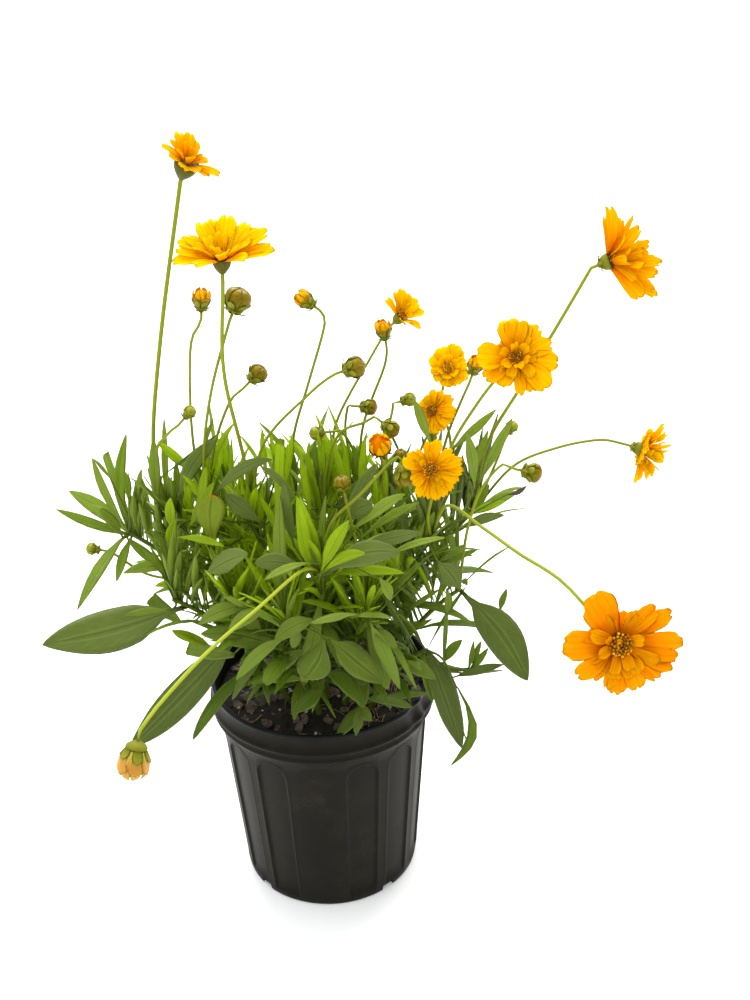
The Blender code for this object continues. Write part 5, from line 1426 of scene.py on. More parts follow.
# The petals of each bloom in its outer and inner layer: the angle of each as seen from the
# front, from three o'clock round, its lift, and its length and width in hundredths of the
# bloom's radius
bloomPetals = {
    "bloom_01": (
        ((153, 17, 96, 46), (176, 23, 77, 40), (121, 23, 91, 34), (102, 31, 105, 43),
         (81, 46, 99, 40), (55, 34, 85, 34), (2, 15, 73, 31), (-39, 9, 108, 37), (-55, 6, 83, 34),
         (-89, 20, 73, 40), (-126, 14, 64, 43)),
        ((116, 70, 71, 28), (2, 80, 66, 25), (-111, 62, 60, 31), (-41, 40, 62, 25),
         (166, 46, 54, 34), (60, 66, 52, 28), (-25, 60, 58, 22)),
    ),
    "bloom_02": (
        ((-170, 1, 95, 32), (-136, -1, 76, 32), (179, 17, 90, 32), (166, 28, 92, 32),
         (158, 36, 89, 32), (134, 57, 92, 37), (109, 63, 92, 32), (68, 67, 97, 42),
         (30, 50, 94, 32), (14, 38, 97, 32), (2, 33, 107, 32), (-5, 16, 99, 32),
         (-14, 11, 106, 32), (-53, 8, 75, 32), (-86, 20, 74, 32)),
        ((152, 61, 56, 26), (89, 79, 59, 27), (31, 61, 62, 27), (-2, 33, 69, 32),
         (-178, 29, 61, 26), (-117, 47, 48, 26), (-44, 33, 57, 26)),
    ),
    "bloom_03": (
        ((138, 14, 115, 55), (116, 32, 125, 46), (99, 44, 134, 64), (70, 54, 121, 46),
         (32, 63, 118, 68), (-19, 53, 119, 55), (-54, 19, 109, 55), (-74, 38, 68, 46),
         (-118, 23, 56, 50)),
        ((115, 29, 78, 41), (69, 60, 79, 41), (-25, 61, 63, 36)),
    ),
    "bloom_04": (
        ((66, 8, 122, 73), (106, 9, 106, 73), (144, 5, 98, 64), (-178, 6, 84, 59),
         (-144, 6, 86, 55), (-98, 5, 92, 64), (-59, 5, 94, 64), (-26, 5, 104, 64),
         (15, 11, 93, 64), (49, 9, 109, 55)),
        ((90, 39, 71, 50), (145, 39, 70, 46), (-157, 40, 70, 46), (-108, 38, 72, 46),
         (-51, 43, 66, 46), (22, 45, 65, 50), (1, 96, 58, 37), (-161, 78, 66, 32)),
    ),
    "bloom_05": (
        ((103, 9, 94, 68), (86, 6, 95, 58), (69, 9, 92, 39), (50, 6, 95, 41), (19, 6, 96, 46),
         (-11, 5, 106, 53), (-46, 2, 110, 58), (-62, 0, 96, 44), (-86, 0, 95, 32),
         (-128, 3, 82, 58), (-149, 3, 94, 48), (177, 8, 99, 68)),
        ((-148, 42, 55, 27), (159, 37, 53, 24), (-79, 56, 47, 27), (-22, 51, 44, 24),
         (102, 53, 48, 24), (42, 39, 45, 27), (-111, 20, 59, 27), (-53, 13, 66, 27)),
    ),
    "bloom_06": (
        ((119, 20, 119, 38), (116, 15, 97, 25), (90, 36, 93, 27), (81, 48, 111, 17),
         (75, 63, 100, 27), (30, 80, 101, 27), (-6, 69, 94, 29), (-39, 68, 119, 29),
         (-59, 58, 110, 38), (-56, 36, 121, 27), (-50, 30, 138, 25), (-73, 24, 105, 48)),
        ((117, 82, 80, 23), (164, 74, 63, 27), (-90, 37, 72, 21), (-94, 70, 78, 29),
         (140, 50, 69, 27), (-145, 53, 59, 32), (-12, 91, 81, 25)),
    ),
    "bloom_07": (
        ((75, 10, 78, 36), (107, 15, 60, 33), (139, 16, 57, 29), (49, 9, 85, 40),
         (25, 4, 96, 44), (-9, 4, 103, 51), (-37, 0, 93, 47), (-60, 0, 92, 36), (-79, 0, 94, 33),
         (-97, 0, 87, 33), (-116, 0, 77, 33), (-146, 0, 69, 29), (178, 6, 66, 29)),
        (),
    ),
    "bloom_08": (
        ((91, 4, 91, 37), (71, 4, 100, 37), (38, 4, 94, 41), (14, 3, 106, 37), (-5, 3, 105, 34),
         (-25, 4, 96, 34), (-45, 4, 95, 31), (-63, 0, 98, 31), (-81, 0, 99, 34),
         (-100, 0, 92, 34), (-119, 0, 94, 31), (-146, 5, 72, 44), (153, 4, 93, 56),
         (128, 4, 83, 34)),
        ((-50, 19, 44, 22), (136, 19, 45, 22)),
    ),
    "bloom_09": (
        ((103, 26, 113, 40), (101, 11, 76, 50), (112, 40, 109, 46), (129, 54, 91, 46),
         (126, 83, 103, 46), (173, 83, 92, 46), (-129, 65, 75, 46), (-81, 54, 100, 43),
         (-67, 37, 115, 43), (-65, 21, 115, 40), (-55, 15, 138, 27), (75, 71, 120, 17),
         (-96, 42, 102, 44), (-112, 60, 98, 44), (-152, 74, 95, 44)),
        ((146, 20, 69, 33), (-180, 44, 57, 33), (-117, 39, 53, 33)),
    ),
    "bloom_10": (
        ((121, 6, 98, 61), (32, 13, 99, 30), (46, 10, 84, 32), (57, 7, 62, 35), (-6, 6, 106, 54),
         (-24, 4, 102, 42), (-43, 0, 95, 32), (-67, -2, 89, 35), (-90, -5, 89, 38),
         (-103, -3, 80, 22), (-126, 0, 72, 19), (-146, 2, 87, 35), (177, 6, 99, 48)),
        ((161, 97, 33, 19), (14, 41, 44, 21), (-28, 8, 74, 22), (-109, 17, 53, 21),
         (-71, 20, 48, 22), (-162, 26, 47, 19), (156, 18, 62, 24), (155, 44, 42, 14)),
    ),
}


# A petal's half width, as a share of the widest
def petalOutline(share):
    return 0.34 + 0.66 * math.sin(math.pi / 2 * min(share / 0.76, 1.0)) ** 1.15 - 0.13 * share ** 6


# The cut of a petal's end: rounded corners, with a notch between each two of its lobes
def petalEnd(lobes, deep):
    def shape(u):
        notch = deep * max(0.0, math.cos(math.pi * lobes * (u + 1))) ** 3
        return -0.17 * abs(u) ** 3 - (notch if abs(u) < 0.95 else 0.0)
    return shape


def petalBlank(lobes, deep):
    columns, rows = 12, 9
    end = petalEnd(lobes / 2, deep)
    spots = [-1 + 2 * column / columns for column in range(columns + 1)]
    weights = ((rows - 2, 0.18), (rows - 1, 0.50), (rows, 1.0))
    teeth = [(row / rows, u, weight * end(u)) for row, weight in weights for u in spots]
    return bladeBlank(columns, rows, petalOutline, teeth)


# The half widths of a bract and of a bud's scale
def bractOutline(share):
    return max(0.75 * (1 - share) ** 0.7 * (0.5 + share) ** 0.3, 0.0) if share < 1 else 0.0


def scaleOutline(share):
    if share >= 1:
        return 0.0
    return math.cos(math.pi / 2 * share ** 2.2) ** 0.75 * (0.80 + 0.35 * share)


# The radius of a bud at a share of its height, as a share of its widest radius
def budProfile(share):
    if share < 0.45:
        return 0.55 + 0.45 * math.sin(math.pi / 2 * share / 0.45)
    return max(math.cos(math.pi / 2 * ((share - 0.45) / 0.55) ** 2.0), 0.03)


petalBlanks = [petalBlank(3, 0.07), petalBlank(4, 0.07), petalBlank(3, 0.11)]
cutPetals = [petalBlank(3, 0.14), petalBlank(4, 0.10), petalBlank(3, 0.10)]
bractBlank = bladeBlank(2, 5, bractOutline)
scaleBlank = bladeBlank(4, 8, scaleOutline)
cupBlank = Blank(turnedShape("cup", 16, (
    (0.30, 0.0), (0.42, 0.10), (0.66, 0.30), (0.88, 0.55), (0.98, 0.80), (1.0, 1.0),
    (0.86, 1.04), (0.45, 1.05),
)))
coreBlank = Blank(turnedShape("core", 14, [
    (budProfile(step / 9) * 0.93, step / 9 * 0.97) for step in range(10)
]))
floretBlank = Blank(turnedShape("floret", 5, (
    (0.55, 0.0), (0.62, 0.55), (1.0, 0.86), (0.45, 1.0),
)))


# A stalk from its stem to a cup, straight at its neck
def addStalk(bunch, stem, share, via, cupBase, axis, thickness, finish, chance):
    points = [Vector(point) / 1000 for point in via]
    path = smoothPath([stemPoint(stem, share), *points, cupBase - axis * stalkShape["neck"]], 8)
    path.append(cupBase + axis * stalkShape["sink"])
    radius = stalkShape["radius"] * thickness
    bent = bendTube(stalkBlank, path, (radius * 1.05, radius * 0.95))
    bunch.add(stalkBlank, bent, finish, chance.random())


# A green cup with its star of spreading bracts, on the end of a stalk
def addCup(bunch, base, axis, radius, height, finish, chance, spread):
    place = facing(base, axis)
    sized = Matrix.Diagonal((radius, radius, height, 1))
    bunch.add(cupBlank, placed(cupBlank.points, place @ sized), finish, chance.uniform(0.3, 0.7))
    for index in range(headShape["bracts"] if spread else 0):
        turn = math.tau * (index + chance.uniform(0.3, 0.7)) / headShape["bracts"]
        length = radius * spread * chance.uniform(0.85, 1.2)
        root = Vector((radius * 0.50, 0, height * 0.16))
        rise = math.sin(1.0 + chance.uniform(-0.35, 0.5))
        tip = Vector((radius * 0.5 + length * 0.9, 0, height * 0.30 + length * rise * 0.6))
        points = bendLeaf(bractBlank, root, tip, -height * 0.10, radius * 0.72, 0,
                          thick=0.00035, twist=chance.uniform(-0.3, 0.3))
        spin = Matrix.Rotation(turn, 4, "Z")
        bunch.add(bractBlank, placed(points, place @ spin), finish, chance.uniform(0.5, 1.0))


# A bloom's look: the thickness of its stalk, the finishes, the width of its disc, how far
# its bracts spread, whether short petals fill the gaps behind, and whether the ends are cut
# deeper
commonHead = {"stalk": 0.9, "cup": "cup", "petal": "petal", "disc": "disc", "discWidth": 1.0,
              "spread": 0, "isFilled": False, "isCut": False}
# The lit and the shaded petal finishes are one gold with painted light and painted shade
headLooks = {
    "bloom_01": {"stalk": 1.3, "cup": "darkCup"},
    "bloom_02": {"stalk": 1.15, "cup": "darkCup", "petal": "petalPaintedLit"},
    "bloom_03": {"petal": "petalPaintedLit"},
    "bloom_04": {"petal": "petalPaintedLit", "disc": "paleDisc", "isFilled": True},
    "bloom_05": {"stalk": 1.0, "discWidth": 1.1, "isFilled": True},
    "bloom_06": {"stalk": 1.1, "spread": 0.7},
    "bloom_07": {"isFilled": True, "isCut": True},
    "bloom_08": {"discWidth": 1.3, "isFilled": True, "isCut": True},
    "bloom_09": {"petal": "petalPaintedLit", "spread": 0.5, "isFilled": True, "isCut": True},
    "bloom_10": {"stalk": 0.95, "petal": "petalPaintedShade", "discWidth": 1.35, "isFilled": True},
}
# How far a petal turns its face, in the blooms that look sideways: the strongest turn
# and the angle that it turns to
faceTurns = {"bloom_02": (0.55, -90), "bloom_06": (0.75, -165), "bloom_09": (0.75, -165)}


# Each petal's angle, lift, twist, length, width and droop, from the outside in
def petalShapes(name, layer, rows, radius, start):
    chance = random.Random("%s %d" % (name, layer))
    most, towards = faceTurns.get(name, (0, 0))
    for clock, lift, length, width in rows:
        twist, droop = chance.uniform(-0.25, 0.25), chance.uniform(0.0, 0.30)
        twist += most * math.sin(math.radians(clock - towards))
        length = radius * length / 100 - start
        width *= radius * 0.0106
        yield math.radians(clock), math.radians(lift), twist, length, width, droop


# Short petals behind the others, which close the gaps near the middle, and are painted deeper as
# painted shade
def fillShapes(name, radius, middleRadius):
    chance = random.Random("fill " + name)
    fill = headShape["fill"]
    for index in range(fill["count"]):
        turn = math.tau * (index + chance.uniform(-0.2, 0.2)) / fill["count"]
        lift = math.radians(chance.uniform(*fill["lift"]))
        length = radius * chance.uniform(*fill["length"]) - middleRadius
        yield turn, lift, chance.uniform(-0.2, 0.2), length, radius * fill["width"], 0.1


# A petal bent from its root: cupped across, ribbed along, rippled and drooping at its end
def petalPoints(blank, shape, rootRadius, chance, cup, ruffle):
    turn, lift, twist, length, width, droop = shape
    u, t, z = blank.points.T
    along = np.clip(t, 0, 1)
    phase, bias = chance.uniform(0, 6), chance.uniform(-0.4, 0.4)
    relief = cup * u ** 2 * np.sin(math.pi * along * 0.9)
    relief += 0.030 * np.cos(9.4 * u + phase * 0.3) * np.sqrt(along)
    relief += ruffle * np.sin(3.1 * u + phase) * t ** 2 * 1.4
    relief += ruffle * np.sin(7.5 * u + 2 * phase) * t ** 5 * 0.9
    relief += bias * 0.12 * u * t
    relief = relief * width + droop * length * (t - t ** 2.4)
    height = relief + z * headShape["petalThick"]
    points = np.stack([t * length, -u * width / 2, height], axis=1)
    pose = Matrix.Rotation(turn, 4, "Z") @ Matrix.Translation((rootRadius, 0, 0))
    pose = pose @ Matrix.Rotation(-lift, 4, "Y") @ Matrix.Rotation(twist, 4, "X")
    return placed(points, pose)


# The petals of a bloom, as one piece: the layers from the picture, and the short ones
def addPetals(name, look, middle, axis, radius, cupRadius, finish, chance):
    corolla = Bunch("petals" + name[-3:])
    petals = cutPetals if look["isCut"] else petalBlanks
    layers = []
    for layer, rows in enumerate(bloomPetals[name]):
        start = cupRadius * headShape["layerStarts"][layer]
        shapes = petalShapes(name, layer, rows, radius, start)
        layers.append((headShape["layerStep"] * layer, start, shapes, headShape["petalCup"],
                       headShape["layerRuffles"][layer]))
    fill = headShape["fill"]
    if look["isFilled"]:
        shapes = fillShapes(name, radius, cupRadius * 0.7)
        layers.append((-fill["below"], cupRadius * fill["start"], shapes, fill["cup"],
                       fill["ruffle"]))
    for lift, start, shapes, cup, ruffle in layers:
        place = headPlace(middle + axis * lift, axis)
        # The short petals behind get a low tone, which paints them a deeper orange as painted
        # shade
        tone = fill["tone"] if lift < 0 else 1.0
        for shape in shapes:
            blank = chance.choice(petals)
            points = petalPoints(blank, shape, start, chance, cup, ruffle)
            corolla.add(blank, placed(points, place), finish, chance.random() * tone)
    corolla.piece("petals", name + "_petals")


def addBloom(name, stemBunch, finishes):
    stem, via, middle, axis, radius = blooms[name]
    look = {**commonHead, **headLooks[name]}
    chance = random.Random("look of " + name)
    axis, middle = Vector(axis).normalized(), Vector(middle) / 1000
    radius /= 1000
    cupRadius = headShape["cupRadius"] + radius * headShape["cupShare"]
    half = headShape["layerHeight"] / 2 + gap
    base = middle - axis * (headShape["cupHeight"] + half)
    addStalk(stemBunch, stem, 1.0, via, base, axis, look["stalk"], finishes["stalk"], chance)
    cup, closed = finishes[look["cup"]], headShape["closedCup"]
    isClosed = name == headShape["closedBloom"]
    if isClosed:
        addCup(stemBunch, middle - axis * closed["below"], axis, closed["radius"],
               closed["height"], cup, chance, 0)
    else:
        height = headShape["funnelHeight"]
        addCup(stemBunch, middle - axis * height, axis, cupRadius * 1.08, height - 0.0004, cup,
               chance, look["spread"])
    petal = finishes[look["petal"]]
    addPetals(name, look, middle, axis, radius, cupRadius, petal, chance)
    if not isClosed:
        step = 0 if name in headShape["flatDiscs"] else headShape["layerStep"]
        width = cupRadius * headShape["discShare"] * look["discWidth"]
        addDisc(name, middle + axis * (step + half), axis, width, finishes[look["disc"]])


# The disc: a low dome set with florets in a spiral
def addDisc(name, base, axis, radius, finish):
    chance = random.Random("disc of " + name)
    disc = Bunch("florets" + name[-3:])
    place = facing(base, axis)
    count = headShape["florets"]
    dome = Matrix.Diagonal((radius * 0.92, radius * 0.92, radius * 0.50, 1))
    disc.add(coreBlank, placed(coreBlank.points, place @ dome), finish, 0.2)
    for index in range(count):
        share = math.sqrt((index + 0.5) / count)
        turn = Matrix.Rotation(index * headShape["floretTurn"], 4, "Z")
        size = radius * headShape["floretSize"] * chance.uniform(0.85, 1.2)
        lean = Matrix.Rotation(share * 0.75, 4, "Y")
        height = radius * (0.42 * (1 - share ** 2) + 0.10)
        spot = turn @ Matrix.Translation((radius * share * 0.95, 0, height))
        sized = Matrix.Diagonal((size, size, size * chance.uniform(2.2, 3.4), 1))
        points = placed(floretBlank.points, place @ spot @ lean @ sized)
        disc.add(floretBlank, points, finish, chance.random() * 0.5 + share * 0.5)
    disc.piece("florets", name + "_disc")


# Buds, wrapped in overlapping scales, some with the petals pushing out
budShape = {
    "cupHeight": 0.0036,
    "cupShare": 0.72,
    "round": 1.75,
    "opening": 2.3,
    "core": 0.97,
    # how many petals, scales and green hugging scales, and how far round each spreads
    "furls": 9,
    "furlSpread": 0.42,
    "scales": 6,
    "scaleSpread": 0.78,
    "hugs": 6,
    "hugSpread": 0.40,
    "hugLift": 0.00045,
    "furlLift": 0.0001,
    "thick": 0.00012,
    "slip": 0.00006,
}
# The stem of each bud, the way of its stalk, its middle, axis and radius, and its state
buds = {
    "bud_01": ("stem_left_mid", ((-76, -2, 357), (-71, -10, 425)), (-61, -10, 458), (0.1, 0, 1),
               5.6, "opening"),
    "bud_02": ("stem_left_mid", ((-68, -26, 357), (-58, -44, 410)), (-36, -60, 474),
               (0.4, -0.05, 0.9), 7.3, "bronze"),
    "bud_03": ("stem_left_mid", ((-63, -12, 352), (-50, -10, 386)), (-29, -10, 407),
               (0.7, -0.05, 0.7), 5.8, "bronze"),
    "bud_04": ("stem_left_tall", ((-100, -10, 352), (-90, -26, 374)), (-73, -30, 392),
               (0.6, -0.05, 0.7), 4, "green"),
    "bud_05": ("stem_mid_left", ((-10, 22, 345), (2, 20, 384), (14.5, 14, 426)), (3, 10, 447),
               (-0.75, -0.05, 0.65), 5.4, "opening"),
    "bud_06": ("stem_left_inner", ((-30, -24, 361), (2, -40, 403)), (30, -50, 423),
               (0.93, -0.05, 0.3), 6.8, "bronze"),
    "bud_07": ("stem_mid_right", ((38, 40, 340), (54, 38, 385)), (53, 30, 416),
               (-0.15, -0.1, 0.98), 5.8, "opening"),
    "bud_08": ("stem_mid_right", ((31, 20, 330), (23, 10, 352)), (4, 0, 357), (-0.9, -0.2, 0.05),
               4.4, "green"),
    "bud_09": ("stem_mid_right", ((26, 32, 338), (28, 32, 360)), (44, 28, 361),
               (0.9, -0.15, -0.05), 5.6, "bronze"),
    "bud_10": ("stem_mid", ((10, -8, 332), (20, -14, 362), (36, -22, 373)), (54, -30, 370),
               (0.6, -0.2, -0.5), 5.8, "bronze"),
    "bud_11": ("stem_right_inner", ((52, 2, 345), (57, 4, 370)), (69, 2, 377), (0.8, -0.1, 0.2),
               4.6, "green"),
    "bud_12": ("stem_right_inner", ((47, -26, 325), (47, -46, 352)), (44, -62, 375),
               (-0.1, -0.6, 0.75), 6.8, "opening"),
    "bud_13": ("stem_right_inner", ((62, 6, 312),), (62, 10, 333), (0.1, -0.25, 0.95), 4.4,
               "bronze"),
    "bud_14": ("stem_front", ((10, -72, 326), (30, -82, 353), (46, -88, 374)), (56, -92, 367),
               (0.1, -0.25, -0.95), 6.2, "bronze"),
    "bud_15": ("stem_front_right", ((28, -68, 300), (23, -70, 332)), (19, -70, 356),
               (-0.15, -0.15, 0.97), 4.8, "bronze"),
    "bud_16": ("stem_right_mid", ((93, 6, 345), (101, -6, 376)), (109, -20, 408),
               (0.25, -0.2, 0.94), 5, "opening"),
    "bud_17": ("stem_far_right", ((127, 14, 318),), (140, 20, 345), (0.45, 0.05, 0.88), 4.2,
               "green"),
    "bud_18": ("stem_right_low", ((100, -46, 300), (108, -52, 334), (121, -56, 354)),
               (140, -60, 350), (0.92, -0.15, -0.2), 6.2, "bronze"),
    "bud_19": ("stem_front",
               ((-8, -88, 305), (-36, -136, 309), (-64, -180, 310), (-88, -216, 304)),
               (-103, -240, 283), (-0.25, -0.3, -0.92), 8.8, "opening"),
    "bud_20": ("stem_far_left", ((-117, 16, 246), (-138, 12, 266)), (-155, 10, 274),
               (-0.92, -0.05, 0.25), 4.2, "green"),
}


# A bud's look: millimetres across and up in the picture, the size, the stalk's thickness and
# the share up the stem where it leaves, how far the scales and the green hugging ones reach
# up the bud, how far its bracts spread and its petals flare, and the finishes
commonBud = {"across": 0, "up": 0, "size": 1.0, "stalk": 0.9, "share": 1.0, "reach": 0.62,
             "hug": 0.45, "spread": 1.25, "flare": 0.42, "inner": "furled", "stem": "stalk"}
stateScales = {"green": "greenBud", "bronze": "bronze", "opening": "openBud"}
budLooks = {
    "bud_02": {"up": 1.5, "size": 1.08},
    "bud_03": {"size": 1.08},
    "bud_06": {"across": 2.0, "up": 1.0},
    "bud_07": {"across": 1.0, "size": 0.92},
    "bud_12": {"reach": 0.45, "inner": "petal", "flare": 0.30},
    "bud_18": {"across": 1.5, "up": -1.0},
    "bud_19": {"up": 1.3, "size": 0.96, "stalk": 1.0, "reach": 0.72, "hug": 0.34,
               "spread": 0, "flare": 0.12, "scale": "lemonBud", "inner": "lemonPetal",
               "stem": "brightStalk"},
    "bud_20": {"share": 0.6},
}


# Wraps a scale round the bud's profile: how far round it spreads, how far it stands off,
# the share of the bud's height that it covers, and how far its end parts from the bud
def wrapScale(radius, tall, turn, spread, lift, height=1.0, part=0.0):
    u, t, z = scaleBlank.points.T
    t = np.clip(t, 0, 1)
    around = np.array([budProfile(share * height) for share in t]) * radius
    slip = budShape["slip"] * (u + 1) * np.sin(math.pi * t)
    out = around + lift + slip + z * budShape["thick"] + part * radius * t ** 4
    turns = turn + u * spread / np.maximum(0.35, np.sqrt(around / radius))
    rise = tall * height * t + z * 0.0001
    return np.stack([out * np.cos(turns), out * np.sin(turns), rise], axis=1)


def addBud(name, stemBunch, finishes):
    stem, via, middle, axis, radius, state = buds[name]
    look = {**commonBud, "scale": stateScales[state], **budLooks.get(name, {})}
    chance = random.Random("look of " + name)
    axis = Vector(axis).normalized()
    middle = (Vector(middle) + across * look["across"] + above * look["up"]) / 1000
    radius *= look["size"] / 1000
    base = middle - axis * (budShape["cupHeight"] + radius * 0.85)
    addStalk(stemBunch, stem, look["share"], via, base, axis, look["stalk"],
             finishes[look["stem"]], chance)
    addCup(stemBunch, base, axis, radius * budShape["cupShare"], budShape["cupHeight"],
           finishes["cup"], chance, look["spread"])
    isOpening, isGreen = state == "opening", state == "green"
    tall = radius * budShape["opening" if isOpening else "round"]
    place = facing(base + axis * (budShape["cupHeight"] - 0.0004), axis)
    place = place @ Matrix.Rotation(chance.uniform(0, 1), 4, "Z")
    bunch = stemBunch if isGreen else Bunch("budScales" + name[-3:])
    scale = finishes[look["scale"]]
    inner = finishes[look["inner"]] if isOpening else scale
    slim = radius * budShape["core"]
    core = (slim, slim, tall * (0.93 if isOpening else 0.985), 1)
    bunch.add(coreBlank, placed(coreBlank.points, place @ Matrix.Diagonal(core)), inner, 0.4)

    def wrap(finish, *shape):
        points = wrapScale(*shape)
        bunch.add(scaleBlank, placed(points, place), finish, chance.random())

    for index in range(budShape["furls"] if isOpening else 0):
        turn = math.tau * index / budShape["furls"] + chance.uniform(-0.2, 0.2)
        wrap(inner, slim, tall, turn, budShape["furlSpread"], budShape["furlLift"],
             chance.uniform(0.90, 1.0), look["flare"] * chance.uniform(0.6, 1))
    reach, part = (look["reach"], 0.10) if isOpening else (1.0, 0.0)
    for index in range(budShape["scales"]):
        turn = math.tau * index / budShape["scales"]
        wrap(scale, radius, tall, turn, budShape["scaleSpread"],
             budShape["slip"] * (index % 2), reach, part)
    for index in range(budShape["hugs"]):
        turn = math.tau * (index + chance.uniform(-0.15, 0.15)) / budShape["hugs"]
        wrap(finishes["budGreen"], radius, tall, turn, budShape["hugSpread"],
             budShape["hugLift"], look["hug"] * chance.uniform(0.85, 1.1), 0.10)
    if not isGreen:
        bunch.piece("opening_bud" if isOpening else "bronze_bud", name)


# Gold, deeper at the root, with ribs and fine streaks along it
def makePetalFinish(name, base, middle, tip, share):
    petal = Finish(name, IOR=1.40, Specular_IOR_Level=0.04)
    flat, u, v, side = petal.spread()
    cloud = petal.grain(130)
    streak = petal.streaks(flat, (46, 2.2, 1))
    loose = (cloud - 0.5) * 0.30 + (streak - 0.5) * 0.35 + (petal.tone() - 0.5) * 0.30
    gold = petal.ramp((v + loose).clamped(), ((0.0, base), (0.42, middle), (1.0, tip)))
    rib = abs(((u * 5.0) % 1.0) - 0.5).between(0.30, 0.5)
    shade = petal.blend(rib * 0.16 + streak.between(0.55, 0.85) * 0.20, gold, base)
    petal.paint(shade, 0.58 + cloud * 0.12)
    bump = petal.bump(streak * 0.8 - rib * 0.9 + side * 0.1, 0.00030, 0.8)
    petal.shineThrough(middle, share, bump)
    return petal


# Satin scales, streaked from low to high, with a tinted foot and thin dark seams
def makeBudFinish(name, low, high, foot, rough=0.24):
    bud = Finish(name, IOR=1.45, Specular_IOR_Level=0.24, Metallic=0.15,
                 Specular_Tint=(1.0, 0.86, 0.55, 1.0))
    flat, _, v, side = bud.spread()
    cloud = bud.grain(420)
    streak = bud.streaks(flat, (22, 1.4, 1))
    share = (streak * 0.7 + bud.tone() * 0.35 + (cloud - 0.5) * 0.3).clamped()
    footed = bud.blend(1 - v.between(0.10, 0.70), bud.blend(share, low, high), foot)
    seam = side.between(0.80, 0.97)
    bud.paint(bud.blend(seam * 0.05, footed, "3a2a06"), rough + cloud * 0.15)
    bud.bump(streak * 0.7 - seam * 0.2, 0.00012, 0.6)
    return bud


# Green stalks and cups, paler higher up
def makeStalkFinish(name, low, high, glow, share):
    stalk = Finish(name, IOR=1.42, Specular_IOR_Level=0.16)
    flat = stalk.node("ShaderNodeUVMap", {"uv_map": "along"})
    cloud = stalk.grain(160)
    streak = stalk.streaks(flat, (14, 9, 1), 2)
    height = stalk.axis("Z", stalk.place()).between(0.20, 0.42)
    lift = streak * 0.35 + stalk.tone() * 0.3 + cloud * 0.35 + height * 0.15
    stalk.paint(stalk.blend(lift.clamped(), low, high), 0.42 + cloud * 0.12)
    bump = stalk.bump(streak * 0.8 + cloud * 0.3, 0.00018, 0.7)
    stalk.shineThrough(glow, share, bump)
    return stalk


# Florets from brown in the middle to gold at the rim
def makeDiscFinish(name, *codes):
    disc = Finish(name, IOR=1.42, Specular_IOR_Level=0.12)
    cloud = disc.grain(900, 3)
    stops = tuple(zip((0.0, 0.4, 0.75, 1.0), codes))
    disc.paint(disc.ramp(disc.tone() + (cloud - 0.5) * 0.3, stops), 0.6 + cloud * 0.1)
    disc.bump(cloud, 0.0002)
    return disc


finishes = {
    "leaf": makeLeafFinish("leafGreen", "4a5c10", "90a432", "c8d88a", "a8c424", 0.38),
    "leafBright": makeLeafFinish("paleLeafGreen", "647e1c", "9cb23c", "c8d88c", "acc82c", 0.36),
    "spotted": makeLeafFinish("yellowedLeaf", "4c6404", "7e900e", "a8b048", "a0ac14", 0.30,
                              "c8660c"),
    "broad": makeLeafFinish("broadLeafGreen", "505e1c", "748638", "b4c484", "94a83a", 0.28),
    "fresh": makeLeafFinish("freshLeafGreen", "769006", "aec60e", "d6e478", "c4dc0c", 0.50),
    "withered": makeLeafFinish("witheredLeaf", "3a2a26", "6a5648", "8a7866", "7a6450", 0.10),
    "stem": makeStalkFinish("stemGreen", "414e12", "74862a", "7c9020", 0.12),
    "stalk": makeStalkFinish("stalkGreen", "6c7a14", "9ca624", "a8b028", 0.18),
    "brightStalk": makeStalkFinish("lemonStalk", "8c9c1c", "bcc83c", "b4c030", 0.22),
    "cup": makeStalkFinish("cupGreen", "565a08", "8e8e22", "7c8418", 0.08),
    "darkCup": makeStalkFinish("darkCupGreen", "2e3004", "646010", "605c10", 0.04),
    "petal": makePetalFinish("goldenPetal", "f99400", "ffc600", "ffdc00", 0.46),
    # These two are the same gold, painted lighter as painted light for blooms that face the light,
    # and deeper as painted shade for bloom_10
    "petalPaintedLit": makePetalFinish("paintedLitPetal", "ffa800", "ffd400", "ffe800", 0.50),
    "petalPaintedShade": makePetalFinish("paintedShadePetal", "e88200", "fcaa00", "ffc400", 0.42),
    "furled": makePetalFinish("furledPetal", "dc9004", "f8b808", "ffd010", 0.30),
    "lemonPetal": makePetalFinish("lemonPetal", "c88a24", "e4b040", "f4d070", 0.30),
    "bronze": makeBudFinish("bronzeScale", "544402", "8c780c", "566408"),
    "openBud": makeBudFinish("openingScale", "6e5a08", "b08810", "6c7a10"),
    "lemonBud": makeBudFinish("lemonScale", "a46c1c", "dca448", "b4a448"),
    "greenBud": makeBudFinish("greenScale", "6e7616", "a0a230", "80902a", 0.4),
    "budGreen": makeBudFinish("hugGreen", "686c10", "9a9824", "68700f", 0.4),
    "disc": makeDiscFinish("floretBrown", "6a3c04", "9a6208", "d09010", "f4c01c"),
    "paleDisc": makeDiscFinish("floretGold", "9a6a08", "c08c10", "e8b018", "fcd02c"),
}
leafTotal = 0
shoots = {stem: Bunch(stem.replace("stem_", "shoot_")) for stem in stems}
for stem, shoot in shoots.items():
    addStem(shoot, stem, finishes["stem"])
    leafTotal += addSolidLeaves(shoot, stem, finishes)
    addMoreLeaves(shoot, stem, finishes)
print("leaves matched to the solids:", leafTotal)
addSeenLeaves(shoots, finishes)
print("leaves that stand out:", len(seenLeaves))
for name, bloom in blooms.items():
    addBloom(name, shoots[bloom[0]], finishes)
print("blooms made:", len(blooms))
for name, bud in buds.items():
    addBud(name, shoots[bud[0]], finishes)
print("buds made:", len(buds))
for stem, shoot in shoots.items():
    shoot.piece("foliage", stem)
print("leafy stems made:", len(shoots))


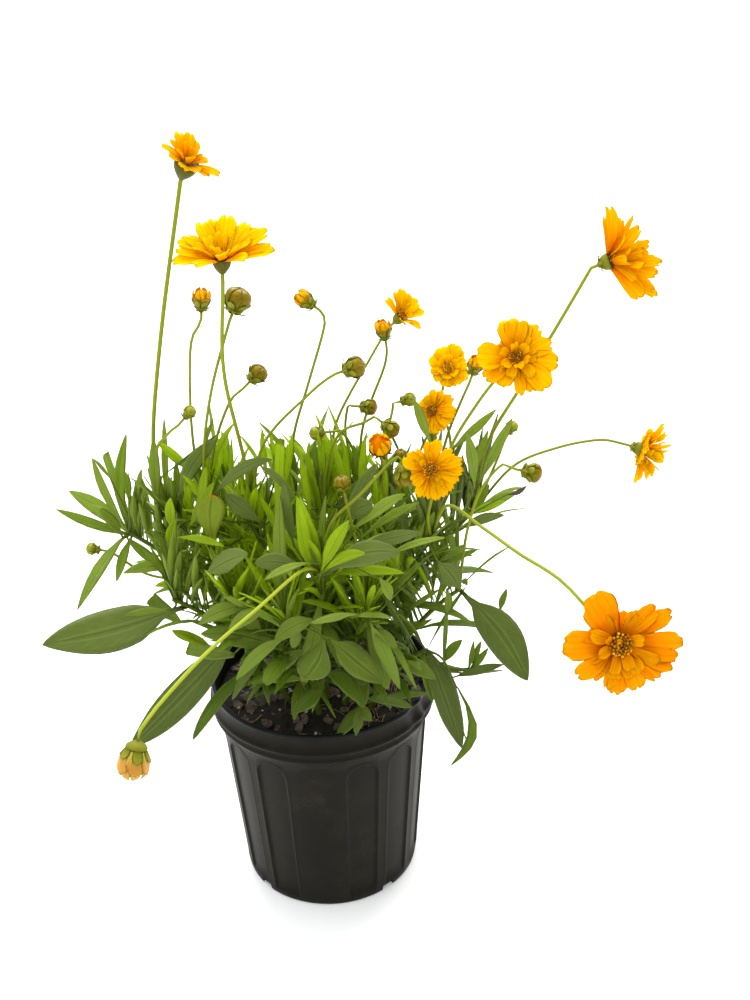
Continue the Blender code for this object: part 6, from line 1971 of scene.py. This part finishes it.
# The plain stage: a pale floor and soft light from behind, above and in front. For each
# light its place, aim, size, power and tint
softLights = {
    "backSoftbox": ((0.3, 1.6, 1.9), (0, 0, 0.3), (2.4, 1.6), 70, (1.0, 0.98, 0.93)),
    "topSoftbox": ((-0.4, 0.1, 2.2), (0, 0, 0.25), (1.6, 1.6), 30, (1.0, 1.0, 1.0)),
    "frontFill": ((-1.0, -1.8, 1.3), (0, 0, 0.3), (1.2, 1.2), 4, (1.0, 1.0, 1.0)),
}


def addLight(name):
    place, aim, size, power, tint = softLights[name]
    data = bpy.data.lights.new(name, "AREA")
    data.shape = "RECTANGLE"
    data.size, data.size_y = size
    data.energy = power
    data.color = tint
    lamp = bpy.data.objects.new(name, data)
    lamp.location = place
    lamp.rotation_euler = (Vector(aim) - Vector(place)).to_track_quat("-Z", "Y").to_euler()
    bpy.context.scene.collection.objects.link(lamp)


startModelling()
bpy.ops.mesh.primitive_plane_add(size=stage["floorSize"], location=(0, 0, 0))
floor = bpy.context.object
floor.name = "paleFloor"
paper = Finish("palePaper", Roughness=0.9, Base_Color=(0.93, 0.93, 0.93, 1.0),
               Emission_Color=(1.0, 1.0, 1.0, 1.0), Emission_Strength=0.15)
floor.data.materials.append(paper.material)
floor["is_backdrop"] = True

world = bpy.data.worlds.new("softRoom")
world.use_nodes = True
sky = world.node_tree.nodes["Background"].inputs
sky["Color"].default_value = (0.97, 0.985, 1.0, 1.0)
sky["Strength"].default_value = 0.95
bpy.context.scene.world = world
for name in softLights:
    addLight(name)

data = bpy.data.cameras.new("camera")
data.sensor_width = stage["sensor"]
data.lens = stage["focus"] * stage["sensor"] / stage["frameHeight"]
camera = bpy.data.objects.new("camera", data)
bpy.context.scene.collection.objects.link(camera)
camera.matrix_world = Matrix.Translation(stage["place"]) @ Matrix(
    (across, above, -ahead)).transposed().to_4x4()
bpy.context.scene.camera = camera
bpy.context.scene.view_settings.view_transform = "Standard"

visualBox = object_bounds()
boxes = [[list(corner) for corner in box] for box in (cadBox, visualBox)]
